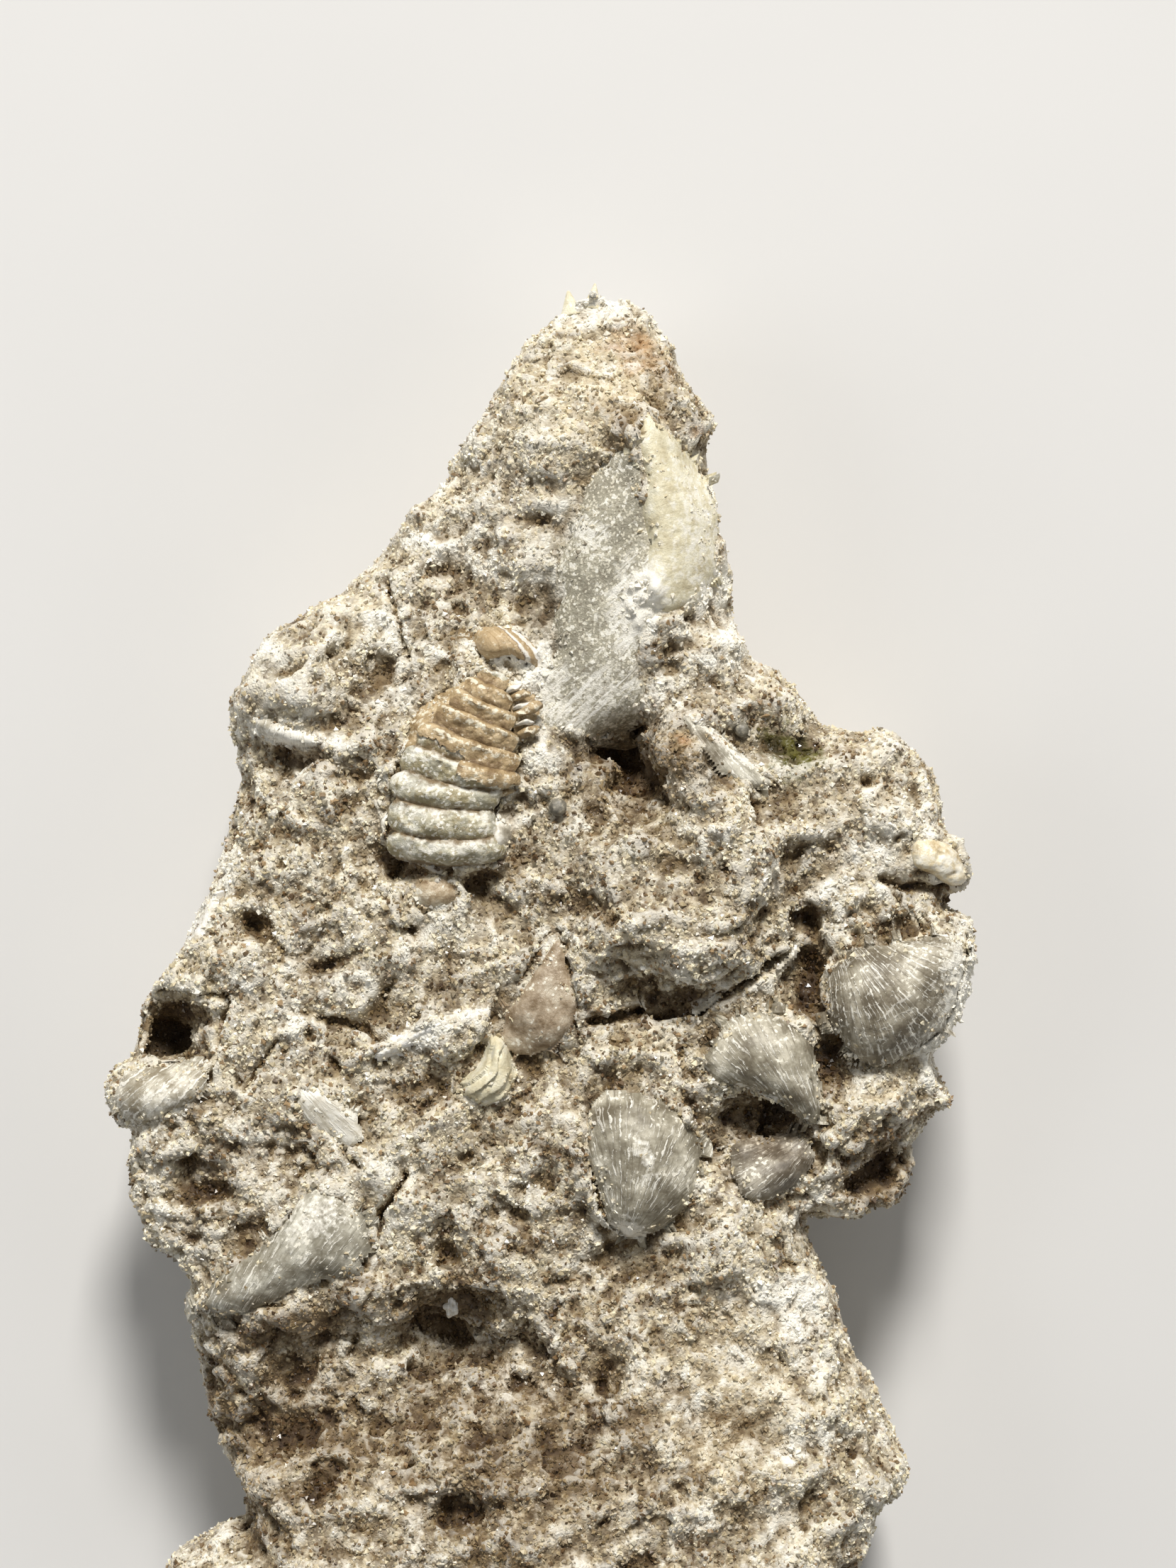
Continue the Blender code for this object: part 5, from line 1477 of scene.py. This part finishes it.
def faces_of(piece):
    """Middle in mm, normal and area of every face of a piece."""
    faces = piece.data.polygons
    return read(faces, "center") / MM, read(faces, "normal"), read(faces, "area", 1)[:, 0]


def grain_ground():
    """Where grains can lie: middles, normals and shares of the faces, and which of them are a shell's."""
    middles, normals, areas = faces_of(rock)
    shares = areas * np.clip(normals[:, 2] + 0.35, 0, 1) * (1 - 0.85 * stretch_cover(middles, SMOOTHED))
    shares = shares * (middles[:, 2] > GRAIN_FLOOR)
    ground = [(middles, normals, shares, np.zeros(len(shares)))]
    for piece, outline in crusted:
        middles, normals, areas = faces_of(piece)
        from_rim = distance_to_line(middles[:, 0], middles[:, 1], outline + outline[:1])
        crust = np.clip(0.3 + 2.8 * per_point(middles / 0.9 + 60.0, noise.noise), 0, 1)
        rim_width = min(0.6, 0.15 * (max(p[1] for p in outline) - min(p[1] for p in outline)))
        cover = crust * np.exp(-((from_rim / rim_width) ** 2))
        cover += 0.7 * np.clip(stretch_cover(middles, BLEACHED) * 2 - 0.9, 0, 1)
        shares = areas * np.clip(normals[:, 2], 0, 1) * cover
        ground.append((middles, normals, shares, np.ones(len(shares))))
    return [np.concatenate(parts) for parts in zip(*ground)]


def scatter_grains(name, ground, count, size, shy, lean, seed):
    """Copies of the crystal all over the ground, each with its own turn and size, joined in one mesh."""
    chance = np.random.default_rng(seed)
    corners, faces = crystal_shape()
    middles, normals, shares, on_shell = ground
    shares = shares * (1 - shy * np.maximum(stretch_cover(middles, GOLDEN + BLEACHED), on_shell))
    shares = shares * np.clip(1 + lean * per_point(middles / 1.7 + 90.0, noise.noise), 0.1, 3)
    chosen = chance.choice(len(middles), count, p=shares / shares.sum())
    sizes = size * np.minimum(chance.lognormal(0.0, GRAIN_SPREAD, count), LARGEST_GRAIN)
    jitter = chance.normal(size=(count, 3)) * size * 0.5
    spots = middles[chosen] + jitter - normals[chosen] * (sizes * GRAIN_SINK)[:, None]
    turns = np.linalg.qr(chance.normal(size=(count, 3, 3)))[0]
    stretch = chance.uniform(0.6, 1.35, (count, 1, 3))
    grains = (corners[None] * stretch * sizes[:, None, None]) @ turns + spots[:, None, :]
    every_face = (faces[None] + (np.arange(count) * len(corners))[:, None, None]).reshape(-1, faces.shape[1])
    joined = bpy.data.meshes.new(name)
    joined.from_pydata((grains.reshape(-1, 3) * MM).tolist(), [], every_face.tolist())
    piece = bpy.data.objects.new(name, joined)
    bpy.context.scene.collection.objects.link(piece)
    save_attribute(joined, "tone", np.repeat(chance.uniform(0, 1, count), len(corners)))
    nearest = np.array([rock_points.find(Vector(spot))[1] for spot in spots.tolist()])
    for stain in (*STAINS, "relief", "broad_relief"):
        values = read(rock.data.attributes[stain].data, "value", 1, np.float32)[nearest, 0]
        if stain not in STAINS:
            values = values * (1 - on_shell[chosen])
        save_attribute(joined, stain, np.repeat(values, len(corners)))
    with editing(piece):
        bpy.ops.mesh.normals_make_consistent(inside=False)
    return piece


rock_points = KDTree(len(rock.data.vertices))
for index, place in enumerate(points_of(rock.data).tolist()):
    rock_points.insert(place, index)
rock_points.balance()
ground = grain_ground()
for name, (count, size, dark, pale, roughness, shy, lean, seed) in GRAIN_KINDS.items():
    piece = scatter_grains(name, ground, count, size, shy, lean, seed)
    paint = Finish(name.replace("_", " "), roughness)
    colour = paint.ramp(paint.attribute("tone"), (0.0, dark), (1.0, pale))
    # Each grain takes the rock's stains and the painted shade of the pits and hollows where it lies, next to
    # none of that shade on the shells.
    colour = stained(paint, colour, paint.cloud(0.9, 4.0, 0.7))
    piece.data.materials.append(paint.use(colour))
    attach(piece, "root")

# The table top, the camera and the lights
#
# The piece lies on a plain pale table. The camera looks straight down on it from where the close-up was
# taken. The light falls from beyond the peak, so that every rib is shaded on the side towards the foot.

TABLE_SIZE = 3.0
VIEW_HEIGHT_MM = 73.7  # what the photograph's height takes in at the rim of the rock
VIEW_CENTRE = (2.25, 10.97)  # the middle of the photograph on the rock, in mm
RIM_HEIGHT_MM = 9.5
LENS = 85.0
SENSOR = 36.0

table = new_piece("table_top", bpy.ops.mesh.primitive_plane_add, size=TABLE_SIZE, location=(0, 0, 0))
paint = Finish("pale table top", 0.6)
colour = paint.ramp(paint.cloud(40.0), (0.3, (0.70, 0.695, 0.68)), (0.7, (0.73, 0.725, 0.71)))
table.data.materials.append(paint.use(colour))

camera = bpy.data.objects.new("camera", bpy.data.cameras.new("camera"))
bpy.context.scene.collection.objects.link(camera)
camera.data.lens = LENS
camera.data.sensor_width = SENSOR
camera.data.clip_start = 0.001
camera.location = (
    VIEW_CENTRE[0] * MM,
    VIEW_CENTRE[1] * MM,
    (RIM_HEIGHT_MM + VIEW_HEIGHT_MM * LENS / SENSOR) * MM,
)
bpy.context.scene.camera = camera


def soft_light(name, place, size, power, colour):
    """A square soft box that faces the middle of the rock."""
    light = bpy.data.lights.new(name, "AREA")
    light.size = size
    light.energy = power
    light.color = colour
    box = bpy.data.objects.new(name, light)
    bpy.context.scene.collection.objects.link(box)
    box.location = place
    box.rotation_euler = (Vector((0, 0, 0)) - Vector(place)).to_track_quat("-Z", "Y").to_euler()


soft_light("window beyond the peak", (0.06, 0.72, 0.62), 0.20, 11.0, (1.0, 0.97, 0.93))
soft_light("soft box at the left", (-0.34, 0.02, 0.30), 0.22, 0.28, (0.96, 0.98, 1.0))
soft_light("soft box at the right", (0.34, -0.10, 0.28), 0.25, 0.18, (1.0, 0.98, 0.95))
world = bpy.data.worlds.new("studio")
world.use_nodes = True
world.node_tree.nodes["Background"].inputs["Color"].default_value = (0.95, 0.97, 1.0, 1.0)
world.node_tree.nodes["Background"].inputs["Strength"].default_value = 0.17
bpy.context.scene.world = world
bpy.context.scene.view_settings.view_transform = "Standard"
